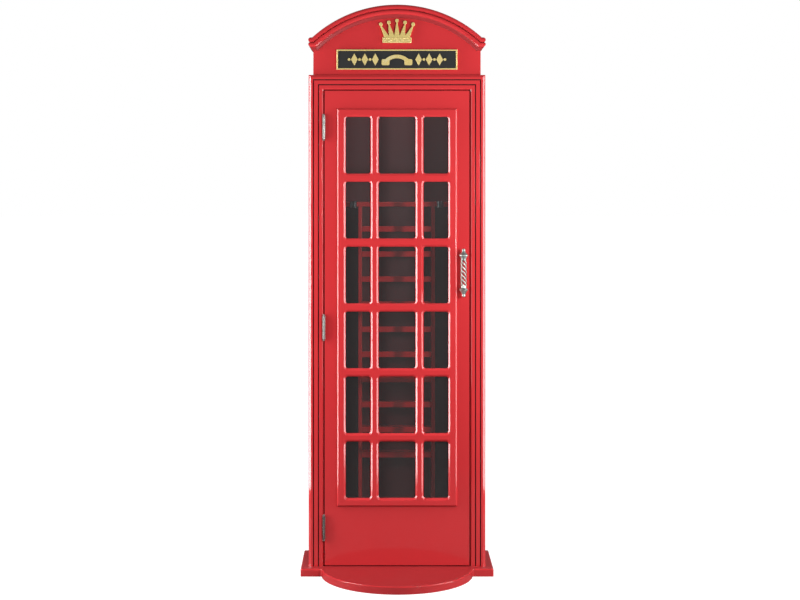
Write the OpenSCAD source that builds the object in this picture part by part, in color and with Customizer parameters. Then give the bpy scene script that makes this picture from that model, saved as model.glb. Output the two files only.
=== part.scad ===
// Telephone booth cabinet: a narrow booth that stands against a wall, with a glazed door on butt hinges,
// an arched pediment, and a rack inside for cues and rows of balls.
// Millimetres. X to the right, -Y to the front, Z up. The origin is on the floor, under the middle of the box.

/* [Overall] */
// Width of the plinth board
plinth_w = 638; // [570:1:765]
// Depth of the plinth board, without the rounded step
plinth_d = 255; // [225:1:320]
// Height from the floor to the top of the arched cornice
overall_h = 1893.5; // [1750:0.5:2270]

/* [Plinth and step] */
// Thickness of the plinth board
plinth_h = 26; // [18:1:40]
// How far the plinth shows beyond each side of the cabinet
side_reveal = 25; // [8:1:40]
// How far the plinth shows in front of the cabinet
front_reveal = 33; // [10:1:50]
// Radius of the rounded step, about the middle of the cabinet's front
step_r = 252; // [150:1:280]

/* [Carcass] */
// Thickness of the side and ceiling boards
board_t = 18; // [12:1:24]
// Thickness of the back panels
back_t = 6; // [4:1:12]
// Number of screws down each edge of the back panel
back_screw_rows = 6; // [3:1:10]

/* [Door frame] */
// Width of the grooved frame round the door
stile_w = 49.5; // [36:0.5:64]
// Thickness of the frame and of the door
frame_t = 20; // [16:1:28]
// Width of each groove in the frame
groove_w = 3.5; // [2:0.5:6]
// Depth of each groove
groove_d = 5.5; // [2:0.5:8]
// Radius of the frame's outer edge
frame_edge_r = 6; // [2:0.5:9]
// Radius of the frame's inner edge
frame_lip_r = 3; // [1:0.5:5]
// Width of the strips that the door shuts against
stop_w = 28; // [20:1:36]
// How far those strips reach into the opening
stop_lap = 10; // [6:1:14]
// Thickness of those strips
stop_t = 12; // [8:1:16]

/* [Door] */
// Gap between the door and the frame at each side
side_gap = 4; // [3:0.5:6]
// Gap above and below the door
end_gap = 3.5; // [2:0.5:6]
// Width of the door beside the raised grid
door_stile_w = 41; // [36:1:60]
// Height of the door above the raised grid
door_top_rail = 60; // [40:1:90]
// Height of the door below the raised grid
door_bottom_rail = 197; // [120:1:260]

/* [Glazing] */
// How far the grid stands proud of the door
grid_t = 9; // [6:0.5:14]
// Width of the grid's border round the panes
grid_margin = 29; // [20:1:40]
// Width of the grid's top and bottom margin
grid_end_margin = 26.7; // [20:0.1:40]
// Width of the bars between panes
bar_w = 27; // [16:1:36]
// Rows of panes
pane_rows = 6; // [3:1:8]
// Share of the glass width that each outer column of panes has
outer_pane_share = 0.287; // [0.15:0.005:0.4]
// Radius of the panes' corners
pane_r = 8; // [3:1:14]
// How far the grid laps onto the door round the glass
grid_lap = 16; // [10:1:22]
// Thickness of the glass
glass_t = 4; // [3:0.5:6]
// Width of the beads that hold the glass
bead_w = 10; // [6:1:14]

/* [Pediment and cornice] */
// Height of the pediment, from the door frame to the top of the cornice
pediment_h = 234; // [200:1:280]
// How far the pediment is set in behind the frame and the sides
pediment_inset = 15; // [6:0.5:20]
// Rise of the arch above its level ends
arch_rise = 109; // [70:1:130]
// Height of the cornice moulding
cornice_h = 44; // [36:1:52]
// How far the cornice stands out
cornice_p = 16; // [12:1:24]
// Thickness of the curved roof board
roof_t = 9; // [6:1:14]

/* [Sign and emblem] */
// Width of the sign
sign_w = 402; // [300:1:440]
// Height of the sign
sign_h = 67; // [50:1:76]
// Thickness of the sign's plate
sign_t = 6; // [4:0.5:10]
// Width of the sign's border
sign_border_w = 4.5; // [3:0.5:8]
// Width of the coronet
coronet_w = 120; // [70:1:130]
// Height of the coronet
coronet_h = 80; // [60:1:84]
// Thickness of the coronet
coronet_t = 8; // [4:1:12]

/* [Hinges] */
// Height of each hinge leaf
hinge_h = 76; // [50:1:100]
// Radius of the hinge barrel
barrel_r = 4.5; // [3.5:0.25:6]
// Radius of the hinge pin
pin_r = 2.2; // [1.5:0.1:3]
// Thickness of each hinge leaf
leaf_t = 1.8; // [1.2:0.1:2.2]
// Width of each hinge leaf
leaf_w = 16; // [12:0.5:18]
// Height of the bottom hinge's middle above the floor
hinge_low = 155; // [110:1:260]
// Distance of the top hinge's middle below the cabinet's top
hinge_high = 174.5; // [110:0.5:260]

/* [Handle] */
// Height of the handle's middle above the floor
handle_z = 1003; // [850:1:1150]
// Length of the handle from tip to tip
handle_l = 162; // [130:1:200]
// Distance of the handle's line from the door
handle_reach = 29; // [22:1:40]
// Radius of the knops
knop_r = 15; // [11:0.5:18]
// Strands in the twist
strands = 4; // [3:1:5]
// Radius of each strand
strand_r = 2.9; // [2:0.1:3.4]
// Height that a strand climbs in one turn
strand_lead = 59; // [40:1:90]

/* [Rack] */
// Depth of the rack, from its front edge to the back panel
rack_d = 98; // [82:1:118]
// Width inside the rack, for a row of four balls
ball_row_w = 237; // [200:1:290]
// Thickness of the rack's uprights
upright_t = 12; // [9:1:18]
// Height of the underside of the cue rail above the floor
rail_z = 1219; // [1100:1:1300]
// Thickness of the cue rail
rail_t = 15; // [10:1:20]
// Number of ball shelves
shelf_count = 10; // [4:1:12]
// Height from one ball shelf to the next
shelf_pitch = 85.3; // [70:0.1:105]
// Thickness of a ball shelf
shelf_t = 9; // [6:1:12]
// Height of the lip along a shelf's front
lip_h = 18.5; // [12:0.5:24]
// Thickness of that lip
lip_t = 6; // [4:0.5:10]

/* [Cue holders] */
// Distance from one cue to the next
cue_pitch = 45; // [38:1:60]
// Distance of the first cue from the rack's upright
cue_inset = 16; // [14:1:30]
// Distance of the cues in front of the rail
cue_reach = 21; // [18:1:26]
// Radius inside a cue clip
clip_r = 8; // [6:0.5:9]
// Thickness of a cue clip
clip_t = 3.5; // [2:0.5:5]
// Height of a cue clip
clip_h = 21; // [12:1:30]
// Radius of a hole for the butt of a cue
butt_r = 16.5; // [14:0.5:19]
// Thickness of the board with those holes
base_t = 15; // [8:1:20]

/* [Hidden] */
$fn = 48;
eps = 0.01;

// Cabinet planes
total_d = plinth_d - front_reveal + step_r;
y_back = total_d / 2;
y_plinth = y_back - plinth_d;
y_face = y_plinth + front_reveal;
y_frame_back = y_face + frame_t;
y_panel = y_back - back_t;
body_w = plinth_w - 2 * side_reveal;
body_top = overall_h - pediment_h;
inner_w = body_w - 2 * board_t;
opening_w = body_w - 2 * stile_w;
opening_top = body_top - stile_w;

// Door
door_w = opening_w - 2 * side_gap;
door_z = plinth_h + end_gap;
door_h = opening_top - end_gap - door_z;
grid_w = door_w - 2 * door_stile_w;
grid_h = door_h - door_top_rail - door_bottom_rail;
grid_z = door_z + door_bottom_rail;
glass_w = grid_w - 2 * grid_margin - 2 * bar_w;
outer_pane_w = glass_w * outer_pane_share;
pane_widths = [outer_pane_w, glass_w - 2 * outer_pane_w, outer_pane_w];
pane_h = (grid_h - 2 * grid_end_margin - (pane_rows - 1) * bar_w) / pane_rows;
sight_w = grid_w - 2 * grid_lap;
sight_h = grid_h - 2 * grid_lap;
sight_z = grid_z + grid_lap;
glass_gap = 1;

// Hinges: the pin's line stands clear of the wood, in the middle of the side gap
pin_x = -opening_w / 2 + side_gap / 2;
pin_y = y_face - barrel_r - 0.3;
pin_play = 0.05;
leaf_play = side_gap / 2 - leaf_t;
knuckle_play = 0.3;
tip_r = 4;
tip_flat = 3.4;
hinge_mids = [hinge_low, (hinge_low + body_top - hinge_high) / 2, body_top - hinge_high];

// Pediment: the arch runs through the level ends of the cornice
pediment_w = body_w - 2 * pediment_inset;
y_pediment = y_face + pediment_inset;
half_span = pediment_w / 2 + 3.5;
arch_r = (half_span * half_span + arch_rise * arch_rise) / (2 * arch_rise);
arch_z = overall_h - arch_r;
eaves_z = overall_h - arch_rise;
roof_r = arch_r - 3;
gable_r = roof_r - roof_t;
sign_z = body_top + 51.5;
coronet_z = overall_h - cornice_h - 3 - coronet_h;

// Handle: it stands in the middle of the door's closing stile
handle_x = door_w / 2 - door_stile_w / 2;
handle_y = y_face - handle_reach;
twist_h = handle_l * 0.53;
twist_r = knop_r * 0.7;
core_r = twist_r - 2 * strand_r - 0.1;

// Rack and cue holders
y_rack = y_panel - rack_d;
rack_w = ball_row_w + 2 * upright_t;
bay_w = (inner_w - rack_w) / 2;
first_lip_z = rail_z + rail_t - 82;
cue_y = y_rack - cue_reach;
cues_per_bay = floor((bay_w - 2 * cue_inset) / cue_pitch) + 1;
cue_xs = [for (i = [0 : cues_per_bay - 1]) rack_w / 2 + cue_inset + i * cue_pitch];
felt_t = 2;

// Fasteners and catch
screw_r = 1.6;
screw_head_r = 4;
bolt_r = 2;
catch_z = 1290;
catch_h = 44;
catch_w = 20;
strike_t = 1.5;

function shelf_name(i) = str("ball_shelf_", i < 9 ? "0" : "", i + 1);

// ---------- shared shapes ----------

// A box given by its lowest and highest corners
module span(lo, hi) {
    translate(lo) cube(hi - lo);
}

// A rectangle with round corners, about its middle
module round_rect(w, h, r) {
    square([w - 2 * r, h], center = true);
    square([w, h - 2 * r], center = true);
    for (x = [-1, 1], z = [-1, 1])
        translate([x * (w / 2 - r), z * (h / 2 - r)]) circle(r);
}

// Draws a flat outline upright, facing the front, from depth y towards the front by t
module upright(y, t) {
    translate([0, y, 0]) rotate([90, 0, 0]) linear_extrude(height = t) children();
}

module round_rod(r, from, length) {
    translate(from) rotate([90, 0, 0]) cylinder(r = r, h = length);
}

// ---------- plinth and carcass ----------

module plinth_board() {
    color("#b8282c") linear_extrude(height = plinth_h) {
        translate([-plinth_w / 2, y_plinth]) square([plinth_w, plinth_d]);
        intersection() {
            translate([0, y_face]) circle(step_r, $fn = 96);
            translate([-step_r, y_face - step_r]) square([2 * step_r, step_r]);
        }
    }
}

module side_board(side) {
    x = side > 0 ? body_w / 2 - board_t : -body_w / 2;
    color("#c22a2e") span([x, y_frame_back, plinth_h], [x + board_t, y_panel, body_top]);
}

module ceiling_board() {
    color("#c22a2e")
        span([-inner_w / 2, y_frame_back, body_top - board_t], [inner_w / 2, y_panel, body_top]);
}

function back_screw_z(i) = plinth_h + 40 + i * (body_top - plinth_h - 80) / (back_screw_rows - 1);

// Everything that runs through the back panel, with the given radii for heads and shanks
module back_screw_set(head, shank, head_t) {
    for (side = [-1, 1], i = [0 : back_screw_rows - 1]) {
        at = [side * (body_w - board_t) / 2, 0, back_screw_z(i)];
        round_rod(head, at + [0, y_back + eps, 0], head_t + eps);
        round_rod(shank, at + [0, y_back, 0], back_t + 22);
    }
}

module back_panel() {
    color("#5a1416") difference() {
        span([-body_w / 2, y_panel, plinth_h], [body_w / 2, y_back, body_top]);
        back_screw_set(screw_head_r + 0.2, screw_r, 2.4);
    }
}

module back_screws() {
    color("#8a8c8e") for (side = [-1, 1], i = [0 : back_screw_rows - 1]) {
        at = [side * (body_w - board_t) / 2, 0, back_screw_z(i)];
        round_rod(screw_head_r, at + [0, y_back - 0.4, 0], 2);
        round_rod(screw_r, at + [0, y_back - 1, 0], back_t + 18);
    }
}

// ---------- door frame ----------

// Section of the frame: x runs from the outer edge to the opening, y from the front to the back
module frame_section() {
    difference() {
        square([stile_w, frame_t]);
        for (i = [1, 2]) translate([i * stile_w / 3, 0]) {
            translate([-groove_w / 2, -1]) square([groove_w, groove_d - groove_w / 2 + 1]);
            translate([0, groove_d - groove_w / 2]) circle(groove_w / 2);
        }
        difference() {
            translate([-1, -1]) square(frame_edge_r + 1);
            translate([frame_edge_r, frame_edge_r]) circle(frame_edge_r);
        }
        difference() {
            translate([stile_w - frame_lip_r, -1]) square(frame_lip_r + 1);
            translate([stile_w - frame_lip_r, frame_lip_r]) circle(frame_lip_r);
        }
    }
}

module frame_stile_at_left() {
    intersection() {
        translate([-body_w / 2, y_face, plinth_h])
            linear_extrude(height = body_top - plinth_h) frame_section();
        upright(y_frame_back + 1, frame_t + 2) polygon([
            [-body_w / 2 - 1, plinth_h - 1], [-opening_w / 2 + 1, plinth_h - 1],
            [-opening_w / 2 + 1, opening_top - 1], [-body_w / 2 - 1, body_top + 1]]);
    }
}

module frame_stile(side) {
    color("#d22b30") mirror([side > 0 ? 1 : 0, 0, 0]) frame_stile_at_left();
}

module frame_head() {
    color("#d22b30") intersection() {
        translate([-body_w / 2, y_face, body_top]) rotate([90, 90, 90])
            linear_extrude(height = body_w) frame_section();
        upright(y_frame_back + 1, frame_t + 2) polygon([
            [-body_w / 2 - 1, body_top + 1], [body_w / 2 + 1, body_top + 1],
            [opening_w / 2 - 1, opening_top - 1], [-opening_w / 2 + 1, opening_top - 1]]);
    }
}

module door_stop_side() {
    x = opening_w / 2 - stop_lap;
    color("#a82226") span([x, y_frame_back, plinth_h],
        [x + stop_w, y_frame_back + stop_t, opening_top + stop_w - stop_lap]);
}

module door_stop_top() {
    z = opening_top - stop_lap;
    color("#a82226") span([-opening_w / 2, y_frame_back, z],
        [opening_w / 2 - stop_lap, y_frame_back + stop_t, z + stop_w]);
}

module magnetic_catch() {
    x = opening_w / 2 - stop_lap;
    color("#3a3a3c")
        span([x - catch_w, y_frame_back + strike_t + 0.3, catch_z - catch_h / 2],
            [x, y_frame_back + strike_t + 15, catch_z + catch_h / 2]);
}

// ---------- pediment, roof and cornice ----------

// What lies under an arc of radius r about the arch's centre, as wide as the pediment
module under_arch(r) {
    intersection() {
        translate([-pediment_w / 2, body_top]) square([pediment_w, pediment_h]);
        translate([0, arch_z]) circle(r, $fn = 160);
    }
}

module pediment_front() {
    color("#c4292d") upright(y_pediment + board_t, board_t) under_arch(gable_r);
}

module pediment_back() {
    color("#c4292d") upright(y_back, back_t) under_arch(gable_r);
}

module pediment_side(side) {
    x = side > 0 ? pediment_w / 2 - board_t : -pediment_w / 2;
    color("#c22a2e") upright(y_panel, y_panel - y_pediment - board_t) intersection() {
        translate([x, body_top]) square([board_t, pediment_h]);
        translate([0, arch_z]) circle(gable_r, $fn = 160);
    }
}

module roof_board() {
    color("#c22a2e") upright(y_back, y_back - y_pediment) intersection() {
        difference() {
            translate([0, arch_z]) circle(roof_r, $fn = 160);
            translate([0, arch_z]) circle(gable_r, $fn = 160);
        }
        translate([-pediment_w / 2, body_top]) square([pediment_w, pediment_h]);
    }
}

// What is cut away to leave a round edge of radius r: a rectangle of height h, less a circle
module round_off(centre, r, h) {
    difference() {
        translate([centre.x, centre.y + r - h]) square([r + 2, h]);
        translate(centre) circle(r);
    }
}

// Section of the cornice: a bead above a smaller one, and a slope down to the pediment.
// x is how far it stands out, y is down from its top
module cornice_section() {
    bead = 8.5;
    small_bead = 6;
    flat = 6;
    foot = 6;
    small_bead_y = -2 * bead - small_bead;
    difference() {
        polygon([[0, 0], [cornice_p + 1, 0], [cornice_p + 1, small_bead_y + 1], [cornice_p, small_bead_y],
            [cornice_p, small_bead_y - flat], [foot, 2 - cornice_h], [foot - 2, -cornice_h], [0, -cornice_h]]);
        round_off([cornice_p - bead, -bead], bead, 2 * bead);
        round_off([cornice_p - small_bead, small_bead_y], small_bead, small_bead);
    }
}

// The level and arched stretches meet on a slanted line from the arch's outer to its inner edge
inner_r = arch_r - cornice_h;
knee_out = half_span;
knee_in = sqrt(inner_r * inner_r - pow(eaves_z - cornice_h - arch_z, 2));
knee_slope = (knee_out - knee_in) / cornice_h;

// The part of the front that lies inside those slanted lines
module between_knees() {
    upright(y_pediment + 1, cornice_p + 2) polygon([
        [-knee_out - 20 * knee_slope, eaves_z + 20], [-knee_in + 20 * knee_slope, eaves_z - cornice_h - 20],
        [knee_in - 20 * knee_slope, eaves_z - cornice_h - 20], [knee_out + 20 * knee_slope, eaves_z + 20],
        [knee_out, overall_h + 20], [-knee_out, overall_h + 20]]);
}

// The part of the front that lies inside the mitred corners
module between_mitres() {
    reach = cornice_p + 2;
    translate([0, 0, eaves_z - cornice_h - 1]) linear_extrude(height = cornice_h + arch_rise + 2) polygon([
        [-pediment_w / 2, y_pediment], [-pediment_w / 2 - reach, y_pediment - reach],
        [pediment_w / 2 + reach, y_pediment - reach], [pediment_w / 2, y_pediment]]);
}

module cornice_arch() {
    sweep = 2 * asin(knee_out / arch_r) + 8;
    color("#d22b30") intersection() {
        translate([0, y_pediment, arch_z]) rotate([90, 0, 0]) rotate([0, 0, 90 - sweep / 2])
            rotate_extrude(angle = sweep, $fn = 180)
                translate([arch_r, 0]) rotate(90) mirror([0, 1]) cornice_section();
        between_knees();
        between_mitres();
    }
}

module cornice_end_at_left() {
    difference() {
        intersection() {
            translate([-pediment_w / 2 - cornice_p - 2, y_pediment, eaves_z]) rotate([0, 0, -90])
                rotate([90, 0, 0]) mirror([0, 0, 1]) linear_extrude(height = pediment_w / 4) cornice_section();
            between_mitres();
        }
        between_knees();
    }
}

module cornice_ends() {
    color("#d22b30") for (side = [0, 1]) mirror([side, 0, 0]) cornice_end_at_left();
}

module cornice_side(side) {
    color("#d22b30") mirror([side > 0 ? 0 : 1, 0, 0]) difference() {
        translate([pediment_w / 2, y_back, eaves_z]) rotate([90, 0, 0])
            linear_extrude(height = y_back - y_pediment + cornice_p + 1) cornice_section();
        between_mitres();
    }
}

// ---------- sign and coronet ----------

module sign_border() {
    color("#e6c765") upright(y_pediment, sign_t + 2) translate([0, sign_z]) difference() {
        square([sign_w, sign_h], center = true);
        square([sign_w - 2 * sign_border_w, sign_h - 2 * sign_border_w], center = true);
    }
}

module sign_plate() {
    color("#1d1d1f") upright(y_pediment, sign_t) translate([0, sign_z])
        square([sign_w - 2 * sign_border_w, sign_h - 2 * sign_border_w], center = true);
}

// A handset: an arched grip between two cups
module handset_outline() {
    grip_r = 58;
    cup_x = 38;
    translate([0, -9]) intersection() {
        translate([0, -33]) difference() {
            circle(grip_r);
            circle(grip_r - 12);
        }
        translate([-cup_x, 0]) square([2 * cup_x, grip_r]);
    }
    for (side = [-1, 1]) translate([side * cup_x, -9]) round_rect(26, 20, 5);
}

// A handset between rows of lozenges and dots
module sign_ornament() {
    pitch = 35;
    dot_r = 4.5;
    color("#e6c765") upright(y_pediment - sign_t, 3) translate([0, sign_z]) {
        handset_outline();
        for (side = [-1, 1], i = [0 : 2]) translate([side * (72 + i * pitch), 0]) {
            polygon([[-11, 0], [0, -20], [11, 0], [0, 20]]);
            translate([side * pitch / 2, 0]) circle(dot_r);
        }
    }
}

// An open coronet: a plain band with five points, each with a ball
module coronet() {
    band_h = 18;
    ball_r = 6;
    points = 5;
    pitch = (coronet_w - 2 * ball_r) / (points - 1);
    color("#e6c765") upright(y_pediment, coronet_t) translate([0, coronet_z]) {
        translate([-coronet_w / 2 + 12, 0]) square([coronet_w - 24, band_h]);
        for (i = [0 : points - 1]) {
            x = (i - (points - 1) / 2) * pitch;
            foot = x * (coronet_w - 48) / coronet_w;
            tip = coronet_h - 2 * ball_r - 6 * abs(i - (points - 1) / 2);
            polygon([[foot - 10, band_h - 1], [foot + 10, band_h - 1], [x + 1.5, tip + 2], [x - 1.5, tip + 2]]);
            translate([x, tip + ball_r]) circle(ball_r);
        }
    }
}

// ---------- door ----------

module door_slab() {
    color("#d22b30") difference() {
        span([-door_w / 2, y_face, door_z], [door_w / 2, y_frame_back, door_z + door_h]);
        span([-sight_w / 2, y_face - 1, sight_z], [sight_w / 2, y_frame_back + 1, sight_z + sight_h]);
        for (end = [-1, 1])
            round_rod(bolt_r + 0.5, [handle_x, y_frame_back + 1, handle_z + end * post_z], frame_t + 2);
    }
}

function pane_x(c) = -grid_w / 2 + grid_margin + pane_widths[c] / 2
    + (c > 0 ? pane_widths[0] + bar_w : 0) + (c > 1 ? pane_widths[1] + bar_w : 0);
function pane_z(r) = grid_z + grid_end_margin + pane_h / 2 + r * (pane_h + bar_w);

module glazing_grid() {
    color("#dc2d33") difference() {
        span([-grid_w / 2, y_face - grid_t, grid_z], [grid_w / 2, y_face, grid_z + grid_h]);
        upright(y_face + 1, grid_t + 2) for (c = [0 : 2], r = [0 : pane_rows - 1])
            translate([pane_x(c), pane_z(r)]) round_rect(pane_widths[c], pane_h, pane_r);
    }
}

module glass_sheet() {
    color("#2a2527", 0.5) span([-sight_w / 2 + glass_gap, y_face, sight_z + glass_gap],
        [sight_w / 2 - glass_gap, y_face + glass_t, sight_z + sight_h - glass_gap]);
}

module glazing_beads() {
    y = y_face + glass_t;
    color("#a82226") {
        for (side = [-1, 1]) {
            x = side > 0 ? sight_w / 2 - bead_w : -sight_w / 2;
            span([x, y, sight_z + bead_w], [x + bead_w, y_frame_back - 4, sight_z + sight_h - bead_w]);
        }
        for (z = [sight_z, sight_z + sight_h - bead_w])
            span([-sight_w / 2, y, z], [sight_w / 2, y_frame_back - 4, z + bead_w]);
    }
}

module strike_plate() {
    x = opening_w / 2 - stop_lap - catch_w / 2;
    color("#9a9c9e") span([x - 8, y_frame_back, catch_z - 18], [x + 8, y_frame_back + strike_t, catch_z + 18]);
}

// ---------- hinges ----------

knuckle_h = hinge_h / 3;

// One leaf of a hinge about its pin: side is -1 on the frame and 1 on the door
module hinge_leaf(side, knuckles) {
    x = side > 0 ? leaf_play : -leaf_play - leaf_t;
    span([x, barrel_r + 0.4, -hinge_h / 2], [x + leaf_t, leaf_w + barrel_r, hinge_h / 2]);
    for (k = knuckles) {
        low = -hinge_h / 2 + k * knuckle_h + (k > 0 ? knuckle_play / 2 : 0);
        high = -hinge_h / 2 + (k + 1) * knuckle_h - (k < 2 ? knuckle_play / 2 : 0);
        difference() {
            union() {
                translate([0, 0, low]) cylinder(r = barrel_r, h = high - low);
                span([x, pin_r + 0.6, low], [x + leaf_t, barrel_r + 1, high]);
            }
            translate([0, 0, low - 1]) cylinder(r = pin_r + pin_play, h = high - low + 2);
        }
    }
}

module at_hinges() {
    for (z = hinge_mids) translate([pin_x, pin_y, z]) children();
}

module hinge_frame_leaves() {
    color("#b4b8b4") at_hinges() hinge_leaf(-1, [0, 2]);
}

module hinge_door_leaves() {
    color("#b4b8b4") at_hinges() hinge_leaf(1, [1]);
}

module hinge_pins() {
    color("#c0c4c0") at_hinges() {
        translate([0, 0, -hinge_h / 2 - 1]) cylinder(r = pin_r, h = hinge_h + 2);
        for (end = [-1, 1]) translate([0, 0, end * (hinge_h / 2 + tip_flat)]) intersection() {
            sphere(tip_r);
            cube([3 * tip_r, 3 * tip_r, 2 * tip_flat], center = true);
        }
    }
}

// Screws run from the leaf into the wood beside it
module hinge_screws(side) {
    color("#8a8c8e") at_hinges() for (z = [-28, 0, 28])
        translate([side * (side_gap / 2 - leaf_t / 2), barrel_r + leaf_w * 0.55, z])
            rotate([0, side * 90, 0]) cylinder(r = screw_r, h = 18);
}

// ---------- handle ----------

post_z = handle_l / 2 - 24;
post_r = 4.5;

// Half section of a knop, from the face that the strands meet to the tip
module knop_section() {
    tip = (handle_l - twist_h) / 2;
    polygon([[0, 0], [twist_r + 0.6, 0], [twist_r + 0.6, 2], [6.5, 5], [knop_r, tip * 0.36],
        [knop_r, tip * 0.4], [7, tip * 0.56], [4.6, tip * 0.68], [4.6, tip * 0.74], [0, tip * 0.74]]);
    intersection() {
        translate([0, tip - 6.4]) circle(6.4);
        square([8, tip]);
    }
}

// A knop with its post, at the given end of the handle: 1 above and -1 below
module handle_knop(end) {
    color("#9aa39c") {
        difference() {
            union() {
                translate([handle_x, handle_y, handle_z + end * twist_h / 2])
                    mirror([0, 0, end > 0 ? 0 : 1]) rotate_extrude() knop_section();
                round_rod(post_r, [handle_x, y_face, handle_z + end * post_z], handle_reach);
                round_rod(2 * post_r, [handle_x, y_face, handle_z + end * post_z], 3);
            }
            round_rod(bolt_r, [handle_x, y_face + 1, handle_z + end * post_z], 16);
        }
    }
}

module handle_twist() {
    turns = twist_h / strand_lead;
    color("#9aa39c") translate([handle_x, handle_y, handle_z - twist_h / 2])
        linear_extrude(height = twist_h, twist = 360 * turns, slices = 24, $fn = 8)
            for (i = [0 : strands - 1]) rotate(i * 360 / strands)
                translate([twist_r - strand_r, 0]) circle(strand_r, $fn = 8);
}

// A red rod that shows between the strands
module handle_core() {
    color("#dc2d33") translate([handle_x, handle_y, handle_z - twist_h / 2]) cylinder(r = core_r, h = twist_h);
}

module handle_bolts() {
    color("#8a8c8e") for (end = [-1, 1]) {
        at = [handle_x, y_frame_back, handle_z + end * post_z];
        round_rod(bolt_r, at, frame_t + 14);
        round_rod(2 * bolt_r + 0.5, at + [0, 2.5, 0], 2.5);
    }
}

// ---------- rack ----------

module rack_upright(side) {
    x = side > 0 ? ball_row_w / 2 : -ball_row_w / 2 - upright_t;
    color("#b8282c") span([x, y_rack, plinth_h], [x + upright_t, y_panel, rail_z]);
}

module cue_rail() {
    color("#c22a2e") span([-inner_w / 2, y_rack, rail_z], [inner_w / 2, y_panel, rail_z + rail_t]);
}

module ball_shelf(i) {
    z = first_lip_z - lip_h - i * shelf_pitch;
    color("#b8282c") {
        span([-ball_row_w / 2, y_rack, z], [ball_row_w / 2, y_panel, z + shelf_t]);
        span([-ball_row_w / 2, y_rack, z], [ball_row_w / 2, y_rack + lip_t, z + lip_h]);
    }
}

module bay_liner(side) {
    x = side > 0 ? rack_w / 2 : -inner_w / 2;
    color("#161617") span([x, y_panel - felt_t, plinth_h], [x + bay_w, y_panel, rail_z]);
}

// A C-shaped clip with its mouth to the front, on a foot that meets the rail
module cue_clip(x) {
    outer = clip_r + clip_t;
    z = rail_z + rail_t / 2 - clip_h / 2;
    translate([x, cue_y, z]) difference() {
        union() {
            cylinder(r = outer, h = clip_h);
            translate([-outer * 0.6, 0, 0]) cube([outer * 1.2, cue_reach, clip_h]);
        }
        translate([0, 0, -1]) cylinder(r = clip_r, h = clip_h + 2);
        translate([-clip_r / 2, -outer - 1, -1]) cube([clip_r, outer, clip_h + 2]);
    }
}

module cue_clips(side) {
    color("#9db0b0") for (x = cue_xs) cue_clip(side * x);
}

module cue_base() {
    color("#b8282c") difference() {
        span([-inner_w / 2, y_rack - 2 * cue_reach, plinth_h], [inner_w / 2, y_rack, plinth_h + base_t]);
        for (side = [-1, 1], x = cue_xs)
            translate([side * x, cue_y, plinth_h - 1]) cylinder(r = butt_r, h = base_t + 2);
    }
}

module cue_pads() {
    color("#161617") for (side = [-1, 1], x = cue_xs)
        translate([side * x, cue_y, plinth_h]) cylinder(r = butt_r - 0.5, h = felt_t);
}

// ---------- nodes ----------

plinth_board();
side_board(-1);  // side_board_left
side_board(1);  // side_board_right
ceiling_board();
back_panel();
back_screws();
frame_stile(-1);  // frame_stile_left
frame_stile(1);  // frame_stile_right
frame_head();
door_stop_side();
door_stop_top();
pediment_front();
pediment_back();
pediment_side(-1);  // pediment_side_left
pediment_side(1);  // pediment_side_right
roof_board();
cornice_arch();
cornice_ends();
cornice_side(-1);  // cornice_side_left
cornice_side(1);  // cornice_side_right
sign_plate();
sign_border();
sign_ornament();
coronet();
cue_rail();
rack_upright(-1);  // rack_upright_left
rack_upright(1);  // rack_upright_right
cue_clips(-1);  // cue_clips_left
cue_clips(1);  // cue_clips_right
cue_base();
cue_pads();
bay_liner(-1);  // bay_liner_left
bay_liner(1);  // bay_liner_right
magnetic_catch();
hinge_frame_leaves();
hinge_pins();
hinge_screws(-1);  // hinge_screws_frame
door_slab();
glazing_grid();
glass_sheet();
glazing_beads();
hinge_door_leaves();
hinge_screws(1);  // hinge_screws_door
handle_twist();
handle_core();
handle_knop(1);  // handle_knop_upper
handle_knop(-1);  // handle_knop_lower
handle_bolts();
strike_plate();
for (i = [0 : shelf_count - 1])
    ball_shelf(i);
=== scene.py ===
"""Finishes and fine shapes for a booth-shaped cabinet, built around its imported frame."""

import logging
import math
from dataclasses import dataclass
from enum import Enum
from functools import partial
from typing import Callable, Iterable, Optional, Sequence

import bmesh
import bpy
from mathutils import Matrix, Vector, geometry


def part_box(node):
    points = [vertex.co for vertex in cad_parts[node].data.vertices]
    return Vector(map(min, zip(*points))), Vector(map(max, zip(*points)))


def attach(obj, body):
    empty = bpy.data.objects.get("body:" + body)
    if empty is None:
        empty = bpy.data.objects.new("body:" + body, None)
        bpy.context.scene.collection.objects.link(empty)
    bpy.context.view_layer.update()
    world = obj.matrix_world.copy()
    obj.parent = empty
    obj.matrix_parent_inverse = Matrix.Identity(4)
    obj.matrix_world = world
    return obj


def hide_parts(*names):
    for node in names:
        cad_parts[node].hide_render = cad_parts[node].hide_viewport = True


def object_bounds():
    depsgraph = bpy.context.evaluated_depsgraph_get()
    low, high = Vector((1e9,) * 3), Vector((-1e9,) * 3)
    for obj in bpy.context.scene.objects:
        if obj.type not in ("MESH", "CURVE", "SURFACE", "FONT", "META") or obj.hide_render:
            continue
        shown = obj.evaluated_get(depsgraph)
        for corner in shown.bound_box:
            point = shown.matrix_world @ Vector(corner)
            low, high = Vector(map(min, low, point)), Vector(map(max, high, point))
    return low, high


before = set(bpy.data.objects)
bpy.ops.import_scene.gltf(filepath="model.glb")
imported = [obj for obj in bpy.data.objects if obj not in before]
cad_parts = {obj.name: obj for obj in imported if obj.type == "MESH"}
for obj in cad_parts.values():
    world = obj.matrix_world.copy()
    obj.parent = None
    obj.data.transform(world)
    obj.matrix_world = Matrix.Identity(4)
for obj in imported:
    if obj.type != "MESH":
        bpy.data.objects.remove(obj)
CAD_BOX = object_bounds()

logging.basicConfig(level=logging.INFO, format="%(message)s")
log = logging.getLogger("cabinet")

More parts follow.
